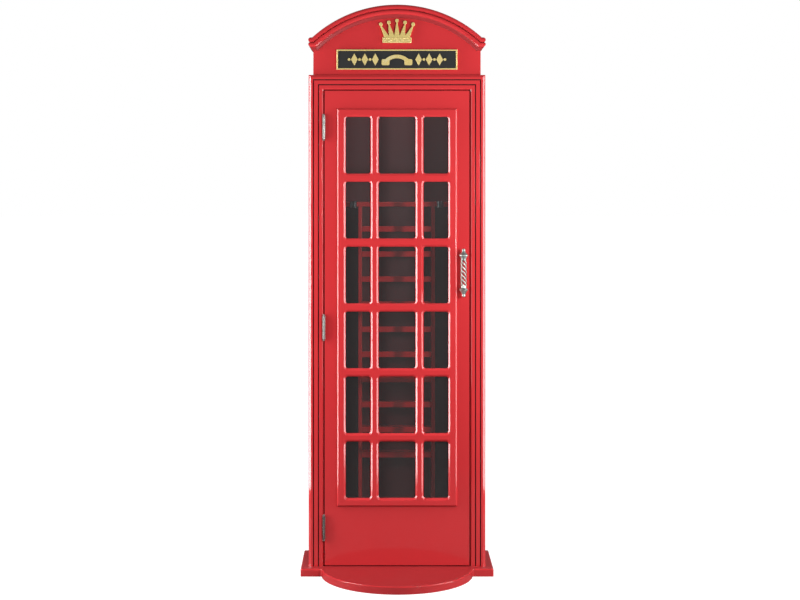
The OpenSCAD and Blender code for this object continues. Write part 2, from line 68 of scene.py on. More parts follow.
MM = 0.001
SMOOTH_ANGLE = math.radians(32)
# Face attribute that marks painted shade: darker, duller lacquer in grooves, hollows and on treads.
PAINTED_SHADE = "grime"
DUST = (0.42, 0.36, 0.32)
# Painted shade colour: the near-black that marked faces are darkened towards.
PAINTED_SHADE_COLOUR = (0.010, 0.003, 0.005)

Colour = tuple[float, float, float]
Section = list[tuple[float, float]]
Profile = tuple[tuple[float, float], ...]
BMesh = bmesh.types.BMesh
Socket = bpy.types.NodeSocket
PaintedShadeShare = Callable[[Vector, Vector], float]


class Body(Enum):
    """The two bodies that pieces ride on."""

    CABINET = "cabinet"
    DOOR = "door"


class Slot(Enum):
    """The record's material slots."""

    LACQUER = "red_lacquer"
    INTERIOR = "red_interior"
    RACK = "red_rack"
    GILT = "gilt"
    SIGN = "sign_black"
    FELT = "felt"
    CLIP = "clip_steel"
    HINGE = "hinge_steel"
    SCREW = "screw_steel"
    PEWTER = "pewter"
    GLASS = "smoked_glass"
    CATCH = "catch_plastic"


# ---------------------------------------------------------------------------
# Shader node groups
# ---------------------------------------------------------------------------


class Sheet:
    """A node tree with short ways to add and join nodes."""

    def __init__(self, tree: bpy.types.NodeTree) -> None:
        """Wraps a shader or geometry node tree."""
        self.tree = tree

    def feed(self, node: bpy.types.Node, values: dict[object, object]) -> None:
        """Gives a node its inputs.

        Args:
            node: The node.
            values: Its input values by name or number. A socket is linked, and anything else is set.
        """
        for key, value in values.items():
            if isinstance(value, Socket):
                self.tree.links.new(value, node.inputs[key])
            else:
                node.inputs[key].default_value = value

    def add(self, kind: str, values: Optional[dict] = None, **settings: object) -> bpy.types.Node:
        """Adds a node.

        Args:
            kind: The node's type name.
            values: Its inputs, as for feed.
            settings: Attributes of the node itself.

        Returns:
            The new node.
        """
        node = self.tree.nodes.new(kind)
        for key, value in settings.items():
            setattr(node, key, value)
        self.feed(node, values or {})
        return node

    def math(self, operation: str, a: object, b: object = 0.0, clamp: bool = False) -> Socket:
        """Adds a Math node.

        Args:
            operation: What the node does.
            a: The first socket or number.
            b: The second socket or number.
            clamp: Whether the result stays from 0 to 1.

        Returns:
            The result's socket.
        """
        return self.add("ShaderNodeMath", {0: a, 1: b}, operation=operation, use_clamp=clamp).outputs[0]

    def blend(self, mask: Socket, a: object, b: object) -> Socket:
        """Mixes two colours by a mask.

        Args:
            mask: The socket that says how much of b shows.
            a: The colour, or its socket, where the mask is 0.
            b: The colour, or its socket, where the mask is 1.

        Returns:
            The mixed colour's socket.
        """
        a, b = (colour if isinstance(colour, Socket) else (*colour, 1.0) for colour in (a, b))
        return self.add("ShaderNodeMix", {"Factor": mask, 6: a, 7: b}, data_type="RGBA").outputs[2]

    def coords(self) -> Socket:
        """Adds the piece's own coordinates."""
        return self.add("ShaderNodeTexCoord").outputs["Object"]

    def noise(self, scale: object, detail: float, coords: Socket) -> Socket:
        """Adds a noise pattern.

        Args:
            scale: Its scale, or the socket that gives it.
            detail: How many finer layers it has.
            coords: The coordinates that it reads.

        Returns:
            The pattern's value socket.
        """
        values = {"Detail": detail, "Vector": coords, "Scale": scale}
        return self.add("ShaderNodeTexNoise", values).outputs["Fac"]

    def ramp(self, value: Socket, low: float, high: float) -> Socket:
        """Stretches a value from low..high to 0..1 and clamps it.

        Args:
            value: The socket to stretch.
            low: What becomes 0.
            high: What becomes 1.

        Returns:
            The stretched value's socket.
        """
        values = {"From Min": low, "From Max": high, "Value": value}
        return self.add("ShaderNodeMapRange", values).outputs["Result"]

    def bump(self, height: Socket) -> Socket:
        """Adds a bump from a height in metres, and gives its normal."""
        return self.add("ShaderNodeBump", {"Distance": 1.0, "Height": height}).outputs["Normal"]


SOCKETS = {"float": "NodeSocketFloat", "colour": "NodeSocketColor", "vector": "NodeSocketVector",
           "int": "NodeSocketInt", "object": "NodeSocketObject", "material": "NodeSocketMaterial",
           "geometry": "NodeSocketGeometry"}


class ShaderGroup:
    """A shared effect: a shader node group with named inputs and outputs."""

    def __init__(self, name: str, inputs: dict[str, tuple[str, object]], outputs: dict[str, str]) -> None:
        """Makes the group's sockets.

        Args:
            name: The group's name.
            inputs: The kind and the default of each input.
            outputs: The kind of each output.
        """
        self.tree = bpy.data.node_groups.new(name, "ShaderNodeTree")
        for title, (kind, default) in inputs.items():
            socket = self.tree.interface.new_socket(title, in_out="INPUT", socket_type=SOCKETS[kind])
            socket.default_value = (*default, 1.0) if kind == "colour" else default
        for title, kind in outputs.items():
            self.tree.interface.new_socket(title, in_out="OUTPUT", socket_type=SOCKETS[kind])
        self.sheet = Sheet(self.tree)
        self.given = self.sheet.add("NodeGroupInput").outputs
        self.result = self.sheet.add("NodeGroupOutput")


def make_film_group() -> ShaderGroup:
    """Builds the sprayed film: a slight mottle, a faint ripple and uneven gloss.

    Returns:
        The group, which puts out Color, Roughness and Normal.
    """
    group = ShaderGroup(
        "sprayed_film",
        {"Color": ("colour", (0.5, 0.0, 0.0)), "Deep Color": ("colour", (0.3, 0.0, 0.0)),
         "Mottle": ("float", 0.1), "Roughness": ("float", 0.15), "Unevenness": ("float", 0.05),
         "Ripple Scale": ("float", 160.0), "Ripple Height": ("float", 0.00002)},
        {"Color": "colour", "Roughness": "float", "Normal": "vector"})
    s, given, coords = group.sheet, group.given, group.sheet.coords()
    mask = s.math("MULTIPLY", s.ramp(s.noise(3.5, 3.0, coords), 0.35, 0.7), given["Mottle"])
    smudge = s.math("SUBTRACT", s.noise(14.0, 4.0, coords), 0.45)
    uneven = s.math("MULTIPLY", smudge, given["Unevenness"])
    ripple = s.math("MULTIPLY", s.noise(given["Ripple Scale"], 2.0, coords), given["Ripple Height"])
    s.feed(group.result, {
        "Color": s.blend(mask, given["Color"], given["Deep Color"]),
        "Roughness": s.math("ADD", given["Roughness"], uneven), "Normal": s.bump(ripple)})
    return group


def make_dust_group() -> ShaderGroup:
    """Builds the settled dust, which dulls what faces up.

    Returns:
        The group, which puts out Color and Roughness.
    """
    group = ShaderGroup(
        "settled_dust",
        {"Color": ("colour", (0.5, 0.0, 0.0)), "Roughness": ("float", 0.2), "Amount": ("float", 0.2)},
        {"Color": "colour", "Roughness": "float"})
    s, given = group.sheet, group.given
    facing = s.add("ShaderNodeSeparateXYZ", {0: s.add("ShaderNodeNewGeometry").outputs["Normal"]})
    upward = s.ramp(facing.outputs["Z"], 0.6, 1.0)
    patches = s.ramp(s.noise(22.0, 5.0, s.coords()), 0.3, 0.75)
    mask = s.math("MULTIPLY", s.math("MULTIPLY", upward, patches), given["Amount"])
    s.feed(group.result, {
        "Color": s.blend(mask, given["Color"], DUST),
        "Roughness": s.math("ADD", given["Roughness"], s.math("MULTIPLY", mask, 0.6), clamp=True)})
    return group


def make_painted_shade_group() -> ShaderGroup:
    """Builds the painted shade of grooves, hollows and treads: a darker colour and a duller gloss where a
    piece's mesh is marked for it.

    Returns:
        The group, which puts out Color and Roughness.
    """
    group = ShaderGroup(
        "gathered_grime", {"Color": ("colour", (0.5, 0.0, 0.0)), "Roughness": ("float", 0.2)},
        {"Color": "colour", "Roughness": "float"})
    s, given = group.sheet, group.given
    mark = s.add("ShaderNodeAttribute", attribute_name=PAINTED_SHADE).outputs["Fac"]
    s.feed(group.result, {
        "Color": s.blend(mark, given["Color"], PAINTED_SHADE_COLOUR),
        "Roughness": s.math("ADD", given["Roughness"], s.math("MULTIPLY", mark, 0.7), clamp=True)})
    return group


def make_wear_group() -> ShaderGroup:
    """Builds the handling marks on metal: bright edges, and dark tarnish in the hollows.

    Returns:
        The group, which puts out Color and Roughness.
    """
    group = ShaderGroup(
        "edge_wear",
        {"Color": ("colour", (0.5, 0.5, 0.5)), "Bright Color": ("colour", (0.8, 0.8, 0.8)),
         "Dark Color": ("colour", (0.1, 0.1, 0.1)), "Wear": ("float", 0.7), "Tarnish": ("float", 0.7),
         "Roughness": ("float", 0.3)},
        {"Color": "colour", "Roughness": "float"})
    s, given, coords = group.sheet, group.given, group.sheet.coords()
    pointed = s.add("ShaderNodeNewGeometry").outputs["Pointiness"]
    flecks = s.ramp(s.noise(260.0, 4.0, coords), 0.25, 0.7)
    hollow = s.math("MULTIPLY", s.ramp(pointed, 0.495, 0.42), given["Tarnish"], clamp=True)
    blotch = s.math("MULTIPLY", s.ramp(s.noise(90.0, 5.0, coords), 0.5, 0.85), given["Tarnish"])
    dark = s.math("MAXIMUM", hollow, blotch)
    edge = s.math("MULTIPLY", s.math("MULTIPLY", s.ramp(pointed, 0.51, 0.58), flecks), given["Wear"])
    base = s.blend(dark, given["Color"], given["Dark Color"])
    duller = s.math("ADD", given["Roughness"], s.math("MULTIPLY", dark, 0.3))
    keener = s.math("MULTIPLY", edge, 0.12)
    s.feed(group.result, {
        "Color": s.blend(edge, base, given["Bright Color"]),
        "Roughness": s.math("SUBTRACT", duller, keener, clamp=True)})
    return group


def make_grain_group() -> ShaderGroup:
    """Builds the fine lines that drawing or brushing leaves along a metal piece.

    Returns:
        The group, which puts out Roughness and Normal.
    """
    group = ShaderGroup(
        "drawn_grain",
        {"Roughness": ("float", 0.3), "Spread": ("float", 0.15), "Line Height": ("float", 0.00001),
         "Stretch": ("vector", (900.0, 900.0, 30.0))},
        {"Roughness": "float", "Normal": "vector"})
    s, given = group.sheet, group.given
    scaled = s.add("ShaderNodeVectorMath", {0: s.coords(), 1: given["Stretch"]}, operation="MULTIPLY")
    lines = s.noise(1.0, 3.0, scaled.outputs[0])
    spread = s.math("MULTIPLY", s.math("SUBTRACT", lines, 0.5), given["Spread"])
    s.feed(group.result, {
        "Roughness": s.math("ADD", given["Roughness"], spread, clamp=True),
        "Normal": s.bump(s.math("MULTIPLY", lines, given["Line Height"]))})
    return group


class GroupShelf:
    """The shared groups, each built once."""

    film = make_film_group()
    dust = make_dust_group()
    grime = make_painted_shade_group()
    wear = make_wear_group()
    grain = make_grain_group()


# ---------------------------------------------------------------------------
# Finishes
# ---------------------------------------------------------------------------


def start_material(name: str, fixed: dict[str, object]) -> tuple[bpy.types.Material, Sheet, bpy.types.Node]:
    """Starts a material with a Principled BSDF.

    Args:
        name: The material's name.
        fixed: The values that are the same all over the surface, set on the shader's own sockets.

    Returns:
        The material, its node sheet, and the shader node.
    """
    material = bpy.data.materials.new(name)
    material.use_nodes = True
    sheet = Sheet(material.node_tree)
    shader = material.node_tree.nodes["Principled BSDF"]
    for socket, value in fixed.items():
        shader.inputs[socket].default_value = value
    return material, sheet, shader


def use_group(sheet: Sheet, group: ShaderGroup, values: dict[str, object]) -> dict[str, Socket]:
    """Places a shared group in a material.

    Args:
        sheet: The material's node sheet.
        group: The group to place.
        values: Its input values. A socket is linked, and anything else is set.

    Returns:
        The group's outputs by name.
    """
    node = sheet.add("ShaderNodeGroup", node_tree=group.tree)
    for title, value in values.items():
        colour = group.tree.interface.items_tree[title].socket_type == SOCKETS["colour"]
        padded = colour and not isinstance(value, Socket)
        sheet.feed(node, {title: (*value, 1.0) if padded else value})
    return {output.name: output for output in node.outputs}


@dataclass(frozen=True)
class Paint:
    """A sprayed paint, with dust on what faces up and painted shade where a piece's mesh is marked."""

    name: str
    colour: Colour
    deep_colour: Colour
    roughness: float
    mottle: float = 0.25
    unevenness: float = 0.06
    ripple_scale: float = 120.0
    ripple_height: float = 0.000012
    dust: float = 0.03
    gloss: float = 0.5

    def build(self) -> bpy.types.Material:
        """Makes the material."""
        material, sheet, shader = start_material(self.name, {"Specular IOR Level": self.gloss})
        film = use_group(sheet, GroupShelf.film, {
            "Color": self.colour, "Deep Color": self.deep_colour, "Mottle": self.mottle,
            "Roughness": self.roughness, "Unevenness": self.unevenness,
            "Ripple Scale": self.ripple_scale, "Ripple Height": self.ripple_height})
        dust = use_group(sheet, GroupShelf.dust, {
            "Color": film["Color"], "Roughness": film["Roughness"], "Amount": self.dust})
        # Painted shade: darkens and dulls the faces whose mesh is marked.
        grime = use_group(sheet, GroupShelf.grime, dust)
        sheet.feed(shader, {
            "Base Color": grime["Color"], "Roughness": grime["Roughness"], "Normal": film["Normal"]})
        return material

@dataclass(frozen=True)
class Metal:
    """A metal with a drawn grain, worn edges and tarnish."""

    name: str
    colour: Colour
    bright: Colour
    dark: Colour
    roughness: float
    metallic: float = 1.0
    wear: float = 0.7
    tarnish: float = 0.6
    spread: float = 0.15
    line_height: float = 0.000004
    stretch: tuple[float, float, float] = (900.0, 900.0, 30.0)

    def build(self) -> bpy.types.Material:
        """Makes the material."""
        material, sheet, shader = start_material(self.name, {"Metallic": self.metallic})
        grain = use_group(sheet, GroupShelf.grain, {
            "Roughness": self.roughness, "Spread": self.spread, "Line Height": self.line_height,
            "Stretch": self.stretch})
        wear = use_group(sheet, GroupShelf.wear, {
            "Color": self.colour, "Bright Color": self.bright, "Dark Color": self.dark,
            "Wear": self.wear, "Tarnish": self.tarnish, "Roughness": grain["Roughness"]})
        sheet.feed(shader, {
            "Base Color": wear["Color"], "Roughness": wear["Roughness"], "Normal": grain["Normal"]})
        return material

@dataclass(frozen=True)
class Felt:
    """A dense felt: short fibres, a soft sheen and a little lint."""

    name: str
    colour: Colour
    lint: Colour
    fibre_scale: float = 1400.0
    fibre_height: float = 0.0002

    def build(self) -> bpy.types.Material:
        """Makes the material."""
        material, sheet, shader = start_material(self.name, {
            "Roughness": 0.95, "Specular IOR Level": 0.15, "Sheen Weight": 0.25, "Sheen Roughness": 0.5})
        coords = sheet.coords()
        fibres = sheet.noise(self.fibre_scale, 4.0, coords)
        lint = sheet.ramp(sheet.noise(self.fibre_scale / 5, 2.0, coords), 0.72, 0.8)
        hollow = tuple(c * 0.6 for c in self.colour)
        nap = sheet.blend(sheet.ramp(fibres, 0.3, 0.7), hollow, self.colour)
        sheet.feed(shader, {
            "Base Color": sheet.blend(lint, nap, self.lint),
            "Normal": sheet.bump(sheet.math("MULTIPLY", fibres, self.fibre_height))})
        return material

@dataclass(frozen=True)
class SmokedGlass:
    """A sheet of smoked glass, with the faint haze that wiping leaves."""

    name: str
    colour: Colour
    opacity: float
    haze_scale: float = 9.0

    def build(self) -> bpy.types.Material:
        """Makes the material."""
        material, sheet, shader = start_material(
            self.name, {"Base Color": (*self.colour, 1.0), "Specular IOR Level": 1.0, "Metallic": 0.0,
                        "Transmission Weight": 0.0})
        haze = sheet.ramp(sheet.noise(self.haze_scale, 5.0, sheet.coords()), 0.4, 0.8)
        sheet.feed(shader, {
            "Alpha": sheet.math("ADD", sheet.math("MULTIPLY", haze, 0.03), self.opacity),
            "Roughness": sheet.math("ADD", sheet.math("MULTIPLY", haze, 0.05), 0.02)})
        return material

@dataclass(frozen=True)
class Moulded:
    """A moulded plastic with a fine spark-eroded grain."""

    name: str
    colour: Colour
    roughness: float

    def build(self) -> bpy.types.Material:
        """Makes the material."""
        material, sheet, shader = start_material(self.name, {})
        film = use_group(sheet, GroupShelf.film, {
            "Color": self.colour, "Deep Color": tuple(c * 0.7 for c in self.colour), "Mottle": 0.4,
            "Roughness": self.roughness, "Unevenness": 0.1, "Ripple Scale": 2200.0, "Ripple Height": 0.00003})
        sheet.feed(shader, {
            "Base Color": film["Color"], "Roughness": film["Roughness"], "Normal": film["Normal"]})
        return material


FINISHES = {
    Slot.LACQUER: Paint("red_lacquer", (0.61, 0.034, 0.039), (0.57, 0.030, 0.035), 0.08,
                        ripple_height=0.000002),
    # Red paint of the inside: red_interior is a much darker copy with painted shade for the back and ceiling,
    # red_rack a lighter copy with painted light for the rack.
    Slot.INTERIOR: Paint("red_interior", (0.11, 0.014, 0.018), (0.09, 0.011, 0.014), 0.40,
                         ripple_scale=260.0),
    Slot.RACK: Paint("red_rack", (0.86, 0.024, 0.030), (0.78, 0.020, 0.025), 0.30, ripple_scale=260.0),
    Slot.SIGN: Paint("sign_black", (0.032, 0.032, 0.032), (0.037, 0.037, 0.037), 0.16),
    Slot.GILT: Metal("gilt", (0.90, 0.70, 0.24), (0.98, 0.90, 0.58), (0.45, 0.26, 0.05), 0.26,
                     metallic=0.35, wear=0.8, tarnish=0.4, stretch=(400.0, 400.0, 400.0)),
    Slot.PEWTER: Metal("pewter", (0.50, 0.58, 0.55), (0.78, 0.80, 0.72), (0.05, 0.11, 0.11), 0.36,
                       wear=0.9, tarnish=0.45, stretch=(500.0, 500.0, 500.0)),
    Slot.HINGE: Metal("hinge_steel", (0.20, 0.20, 0.19), (0.42, 0.42, 0.40), (0.07, 0.07, 0.07), 0.30,
                      tarnish=0.35),
    Slot.SCREW: Metal("screw_steel", (0.24, 0.24, 0.24), (0.5, 0.5, 0.5), (0.08, 0.08, 0.08), 0.33),
    Slot.CLIP: Metal("clip_steel", (0.20, 0.28, 0.30), (0.34, 0.42, 0.43), (0.08, 0.12, 0.13), 0.38),
    Slot.FELT: Felt("felt", (0.035, 0.032, 0.032), (0.06, 0.055, 0.055)),
    Slot.GLASS: SmokedGlass("smoked_glass", (0.080, 0.074, 0.075), 0.25),
    Slot.CATCH: Moulded("catch_plastic", (0.025, 0.025, 0.027), 0.5),
}
MATERIALS = {slot: finish.build() for slot, finish in FINISHES.items()}


# ---------------------------------------------------------------------------
# Meshes
# ---------------------------------------------------------------------------


def smooth_faces(mesh: bpy.types.Mesh) -> None:
    """Shades a mesh smooth, apart from its sharp edges."""
    mesh.shade_smooth()
    mesh.set_sharp_from_angle(angle=SMOOTH_ANGLE)


def bake_modifiers(piece: bpy.types.Object) -> None:
    """Turns a piece's modifiers into its own mesh and removes them."""
    graph = bpy.context.evaluated_depsgraph_get()
    mesh = bpy.data.meshes.new_from_object(piece.evaluated_get(graph))
    mesh.name = piece.name
    old = piece.data
    piece.modifiers.clear()
    piece.data = mesh
    bpy.data.meshes.remove(old)


def add_object(name: str, mesh: bpy.types.Mesh) -> bpy.types.Object:
    """Makes an object for a mesh and puts it in the scene.

    Args:
        name: The object's name.
        mesh: Its mesh.

    Returns:
        The object.
    """
    piece = bpy.data.objects.new(name, mesh)
    bpy.context.scene.collection.objects.link(piece)
    return piece


def mesh_from(name: str, build: Callable[[BMesh], None]) -> bpy.types.Mesh:
    """Makes a mesh with a build function, merges its doubles and turns its faces outwards.

    Args:
        name: The mesh's name.
        build: Adds the geometry to the bmesh that it is given.

    Returns:
        The mesh.
    """
    work = bmesh.new()
    build(work)
    bmesh.ops.remove_doubles(work, verts=work.verts, dist=1e-6)
    bmesh.ops.recalc_face_normals(work, faces=work.faces)
    mesh = bpy.data.meshes.new(name)
    work.to_mesh(mesh)
    work.free()
    smooth_faces(mesh)
    return mesh


def loft(work: BMesh, loops: Sequence[Sequence[Vector]], capped: bool = True) -> None:
    """Joins closed loops of points with faces.

    Args:
        work: The bmesh that gets the faces.
        loops: The loops, each with the same number of points.
        capped: Whether the two ends are closed as well.
    """
    rows = [[work.verts.new(point) for point in loop] for loop in loops]
    count = len(rows[0])
    for near, far in zip(rows, rows[1:]):
        for i in range(count):
            j = (i + 1) % count
            work.faces.new((near[i], near[j], far[j], far[i]))
    if capped:
        work.faces.new(list(reversed(rows[0])))
        work.faces.new(rows[-1])


def arc(centre: tuple[float, float], radius: float, start: float, end: float, steps: int) -> Section:
    """Points along an arc.

    Args:
        centre: The arc's centre.
        radius: Its radius.
        start: The first angle in degrees.
        end: The last angle in degrees.
        steps: How many chords it has.

    Returns:
        The points, both ends included.
    """
    angles = [math.radians(start + (end - start) * i / steps) for i in range(steps + 1)]
    return [(centre[0] + radius * math.cos(a), centre[1] + radius * math.sin(a)) for a in angles]


def turned(work: BMesh, outline: Section, place: Matrix, steps: int = 40) -> None:
    """Turns an outline round the Z axis, as on a lathe.

    Args:
        work: The bmesh that gets the shape.
        outline: Radius and height of each point, from the foot to the tip.
        place: Where the shape goes.
        steps: How many faces it has round it.
    """
    loops = []
    for radius, height in outline:
        ring = [2 * math.pi * i / steps for i in range(steps)]
        r = max(radius, 1e-5)
        loops.append([place @ Vector((r * math.cos(a), r * math.sin(a), height)) for a in ring])
    loft(work, loops)


def eased_copy(node: str, name: str, width: float, segments: int = 2, foot: float = 1.0) -> bpy.types.Object:
    """Copies a CAD node and rounds its edges.

    Args:
        node: The CAD node.
        name: The new piece's name.
        width: How wide each rounding is, in millimetres.
        segments: How many faces each rounding has.
        foot: The share of that width that edges at the node's foot get.

    Returns:
        The new piece, with nothing set about its body or finish.
    """
    work = bmesh.new()
    work.from_mesh(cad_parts[node].data)
    bmesh.ops.remove_doubles(work, verts=work.verts, dist=2e-6)
    bmesh.ops.dissolve_limit(work, angle_limit=math.radians(0.5), verts=work.verts, edges=work.edges)
    weight = work.edges.layers.float.new("bevel_weight_edge")
    ground = min(vert.co.z for vert in work.verts)
    for edge in work.edges:
        if len(edge.link_faces) == 2 and edge.calc_face_angle(0.0) > SMOOTH_ANGLE:
            edge[weight] = foot if max(vert.co.z for vert in edge.verts) < ground + 1e-5 else 1.0
    mesh = bpy.data.meshes.new(name)
    work.to_mesh(mesh)
    work.free()
    smooth_faces(mesh)
    piece = add_object(name, mesh)
    bevel = piece.modifiers.new("ease", "BEVEL")
    bevel.width = width * MM
    bevel.segments = segments
    bevel.limit_method = "WEIGHT"
    bevel.harden_normals = True
    bake_modifiers(piece)
    return piece


def dress(piece: bpy.types.Object, slot: Slot, body: Body, replaced: Iterable[str] = ()) -> bpy.types.Object:
    """Gives a piece its finish and its body, and hides the CAD nodes that it stands for.

    Args:
        piece: The finished piece.
        slot: Its finish.
        body: What it moves with.
        replaced: The CAD nodes that it stands for.

    Returns:
        The piece.
    """
    piece.data.materials.clear()
    piece.data.materials.append(MATERIALS[slot])
    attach(piece, body.value)
    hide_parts(*replaced)
    log.info("%-26s %-8s %-14s %6d faces", piece.name, body.value, slot.value, len(piece.data.polygons))
    return piece


def swap(node: str, name: str, width: float, segments: int, slot: Slot, body: Body = Body.CABINET) -> None:
    """Puts an eased copy in a CAD node's place.

    Args:
        node: The CAD node.
        name: The new piece's name.
        width: How wide each rounding is, in millimetres.
        segments: How many faces each rounding has.
        slot: Its finish.
        body: What it moves with.
    """
    dress(eased_copy(node, name, width, segments), slot, body, [node])


def add_shape(name: str, build: Callable[[BMesh], None]) -> bpy.types.Object:
    """Makes a piece with a build function."""
    return add_object(name, mesh_from(name, build))


def mark_painted_shade(piece: bpy.types.Object, amount: PaintedShadeShare) -> None:
    """Marks the faces of a piece that get painted shade.

    Args:
        piece: The piece.
        amount: Gives the share of painted shade, from a face's middle and its normal.
    """
    marks = piece.data.attributes.new(PAINTED_SHADE, "FLOAT", "FACE")
    for face in piece.data.polygons:
        marks.data[face.index].value = amount(face.center, face.normal)


def span_of(node: str) -> tuple[Vector, Vector]:
    """The lowest and highest corners of a CAD node."""
    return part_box(node)


# ---------------------------------------------------------------------------
# Geometry Nodes
# ---------------------------------------------------------------------------


class Recipe:
    """A geometry node tree with named inputs, run on a piece and then baked into its mesh."""

    def __init__(self, name: str, inputs: dict[str, str]) -> None:
        """Makes the tree's sockets.

        Args:
            name: The tree's name.
            inputs: The kind of each named input, besides the geometry that comes in.
        """
        self.tree = bpy.data.node_groups.new(name, "GeometryNodeTree")
        for title, kind in {"Geometry": "geometry", **inputs}.items():
            self.tree.interface.new_socket(title, in_out="INPUT", socket_type=SOCKETS[kind])
        self.tree.interface.new_socket("Geometry", in_out="OUTPUT", socket_type=SOCKETS["geometry"])
        self.sheet = Sheet(self.tree)
        self.given = self.sheet.add("NodeGroupInput").outputs
        self.result = self.sheet.add("NodeGroupOutput")

    def close(self, instances: Socket) -> None:
        """Ends the tree: makes the instances real, shades them smooth and sets their material.

        Args:
            instances: The geometry that comes out of the rest of the tree.
        """
        s = self.sheet
        real = s.add("GeometryNodeRealizeInstances", {"Geometry": instances}).outputs["Geometry"]
        smooth = s.add("GeometryNodeSetShadeSmooth", {"Geometry": real}).outputs["Geometry"]
        paint = s.add("GeometryNodeSetMaterial", {"Geometry": smooth, "Material": self.given["Material"]})
        s.feed(self.result, {"Geometry": paint.outputs["Geometry"]})

    def run(self, name: str, mesh: bpy.types.Mesh, values: dict[str, object]) -> bpy.types.Object:
        """Runs the tree on a mesh and keeps the result as a plain piece.

        Args:
            name: The new piece's name.
            mesh: The mesh that goes in.
            values: The named inputs' values.

        Returns:
            The piece.
        """
        piece = add_object(name, mesh)
        modifier = piece.modifiers.new(self.tree.name, "NODES")
        modifier.node_group = self.tree
        for item in self.tree.interface.items_tree:
            if item.in_out == "INPUT" and item.name in values:
                modifier[item.identifier] = values[item.name]
        bake_modifiers(piece)
        return piece


def make_twist_recipe() -> Recipe:
    """Builds the recipe for twisted strands that swell towards their middle.

    Returns:
        The recipe, with inputs for the strands' number, turns, height, radii and place.
    """
    recipe = Recipe("twisted_strands", {
        "Strands": "int", "Turns": "float", "Height": "float", "Waist": "float", "Belly": "float",
        "Strand Radius": "float", "Place": "vector", "Material": "material"})
    s, given = recipe.sheet, recipe.given
    spiral = s.add("GeometryNodeCurveSpiral", {
        "Resolution": 40, "Start Radius": 1.0, "End Radius": 1.0,
        "Rotations": given["Turns"], "Height": given["Height"]})
    along = s.add("GeometryNodeSplineParameter").outputs["Factor"]
    swell = s.math("SINE", s.math("MULTIPLY", along, math.pi))
    extra = s.math("MULTIPLY", s.math("SUBTRACT", given["Belly"], given["Waist"]), swell)
    radius = s.math("ADD", given["Waist"], extra)
    scale = s.add("ShaderNodeCombineXYZ", {"X": radius, "Y": radius, "Z": 1.0}).outputs[0]
    position = s.add("GeometryNodeInputPosition").outputs[0]
    scaled = s.add("ShaderNodeVectorMath", {0: position, 1: scale}, operation="MULTIPLY").outputs[0]
    shaped = s.add("GeometryNodeSetPosition", {"Geometry": spiral.outputs["Curve"], "Position": scaled})
    profile = s.add("GeometryNodeCurvePrimitiveCircle", {"Resolution": 14, "Radius": given["Strand Radius"]})
    rod = s.add("GeometryNodeCurveToMesh", {
        "Curve": shaped.outputs["Geometry"], "Profile Curve": profile.outputs["Curve"], "Fill Caps": True})
    starts = s.add("GeometryNodeMeshLine", {"Offset": (0.0, 0.0, 0.0), "Count": given["Strands"]})
    index = s.add("GeometryNodeInputIndex").outputs[0]
    angle = s.math("MULTIPLY", s.math("DIVIDE", index, given["Strands"]), 2 * math.pi)
    copies = s.add("GeometryNodeInstanceOnPoints", {
        "Points": starts.outputs["Mesh"], "Instance": rod.outputs["Mesh"],
        "Rotation": s.add("ShaderNodeCombineXYZ", {"Z": angle}).outputs[0]})
    placed = s.add("GeometryNodeTransform", {
        "Geometry": copies.outputs["Instances"], "Translation": given["Place"]})
    recipe.close(placed.outputs["Geometry"])
    return recipe


def make_fastener_recipe() -> Recipe:
    """Builds the recipe that puts a copy of a form at each point, turned to the point's facing.

    Returns:
        The recipe, with inputs for the form and the material.
    """
    recipe = Recipe("fasteners", {"Form": "object", "Material": "material"})
    s, given = recipe.sheet, recipe.given
    form = s.add("GeometryNodeObjectInfo", {"Object": given["Form"]})
    facing = s.add("GeometryNodeInputNamedAttribute", {"Name": "facing"}, data_type="FLOAT_VECTOR")
    turn = s.add("FunctionNodeAlignRotationToVector", {"Vector": facing.outputs["Attribute"]}, axis="Z")
    copies = s.add("GeometryNodeInstanceOnPoints", {
        "Points": given["Geometry"], "Instance": form.outputs["Geometry"], "Rotation": turn.outputs[0]})
    recipe.close(copies.outputs["Instances"])
    return recipe


def make_bead_recipe() -> Recipe:
    """Builds the recipe for a row of beads along a line.

    Returns:
        The recipe, with inputs for the beads' spacing and radius.
    """
    recipe = Recipe("bead_row", {"Spacing": "float", "Bead Radius": "float", "Material": "material"})
    s, given = recipe.sheet, recipe.given
    line = s.add("GeometryNodeMeshToCurve", {"Mesh": given["Geometry"]}).outputs["Curve"]
    marks = s.add("GeometryNodeResampleCurve", {"Curve": line, "Length": given["Spacing"]}, mode="LENGTH")
    bead = s.add("GeometryNodeMeshUVSphere", {"Segments": 14, "Rings": 8, "Radius": given["Bead Radius"]})
    copies = s.add("GeometryNodeInstanceOnPoints", {
        "Points": marks.outputs["Curve"], "Instance": bead.outputs["Mesh"]})
    recipe.close(copies.outputs["Instances"])
    return recipe


class RecipeBook:
    """The geometry recipes, each built once."""

    twist = make_twist_recipe()
    fasteners = make_fastener_recipe()
    beads = make_bead_recipe()


def fasten(name: str, form: bpy.types.Object, places: Sequence[Vector], facing: Vector, body: Body,
           node: str) -> None:
    """Puts copies of a fastener in a CAD node's place.

    Args:
        name: The new piece's name.
        form: The fastener's form.
        places: Where the copies go.
        facing: Which way they face.
        body: What they move with.
        node: The CAD node.
    """
    mesh = bpy.data.meshes.new(name)
    mesh.from_pydata([tuple(place) for place in places], [], [])
    for item in mesh.attributes.new("facing", "FLOAT_VECTOR", "POINT").data:
        item.vector = facing
    piece = RecipeBook.fasteners.run(name, mesh, {"Form": form, "Material": MATERIALS[Slot.SCREW]})
    smooth_faces(piece.data)
    dress(piece, Slot.SCREW, body, [node])


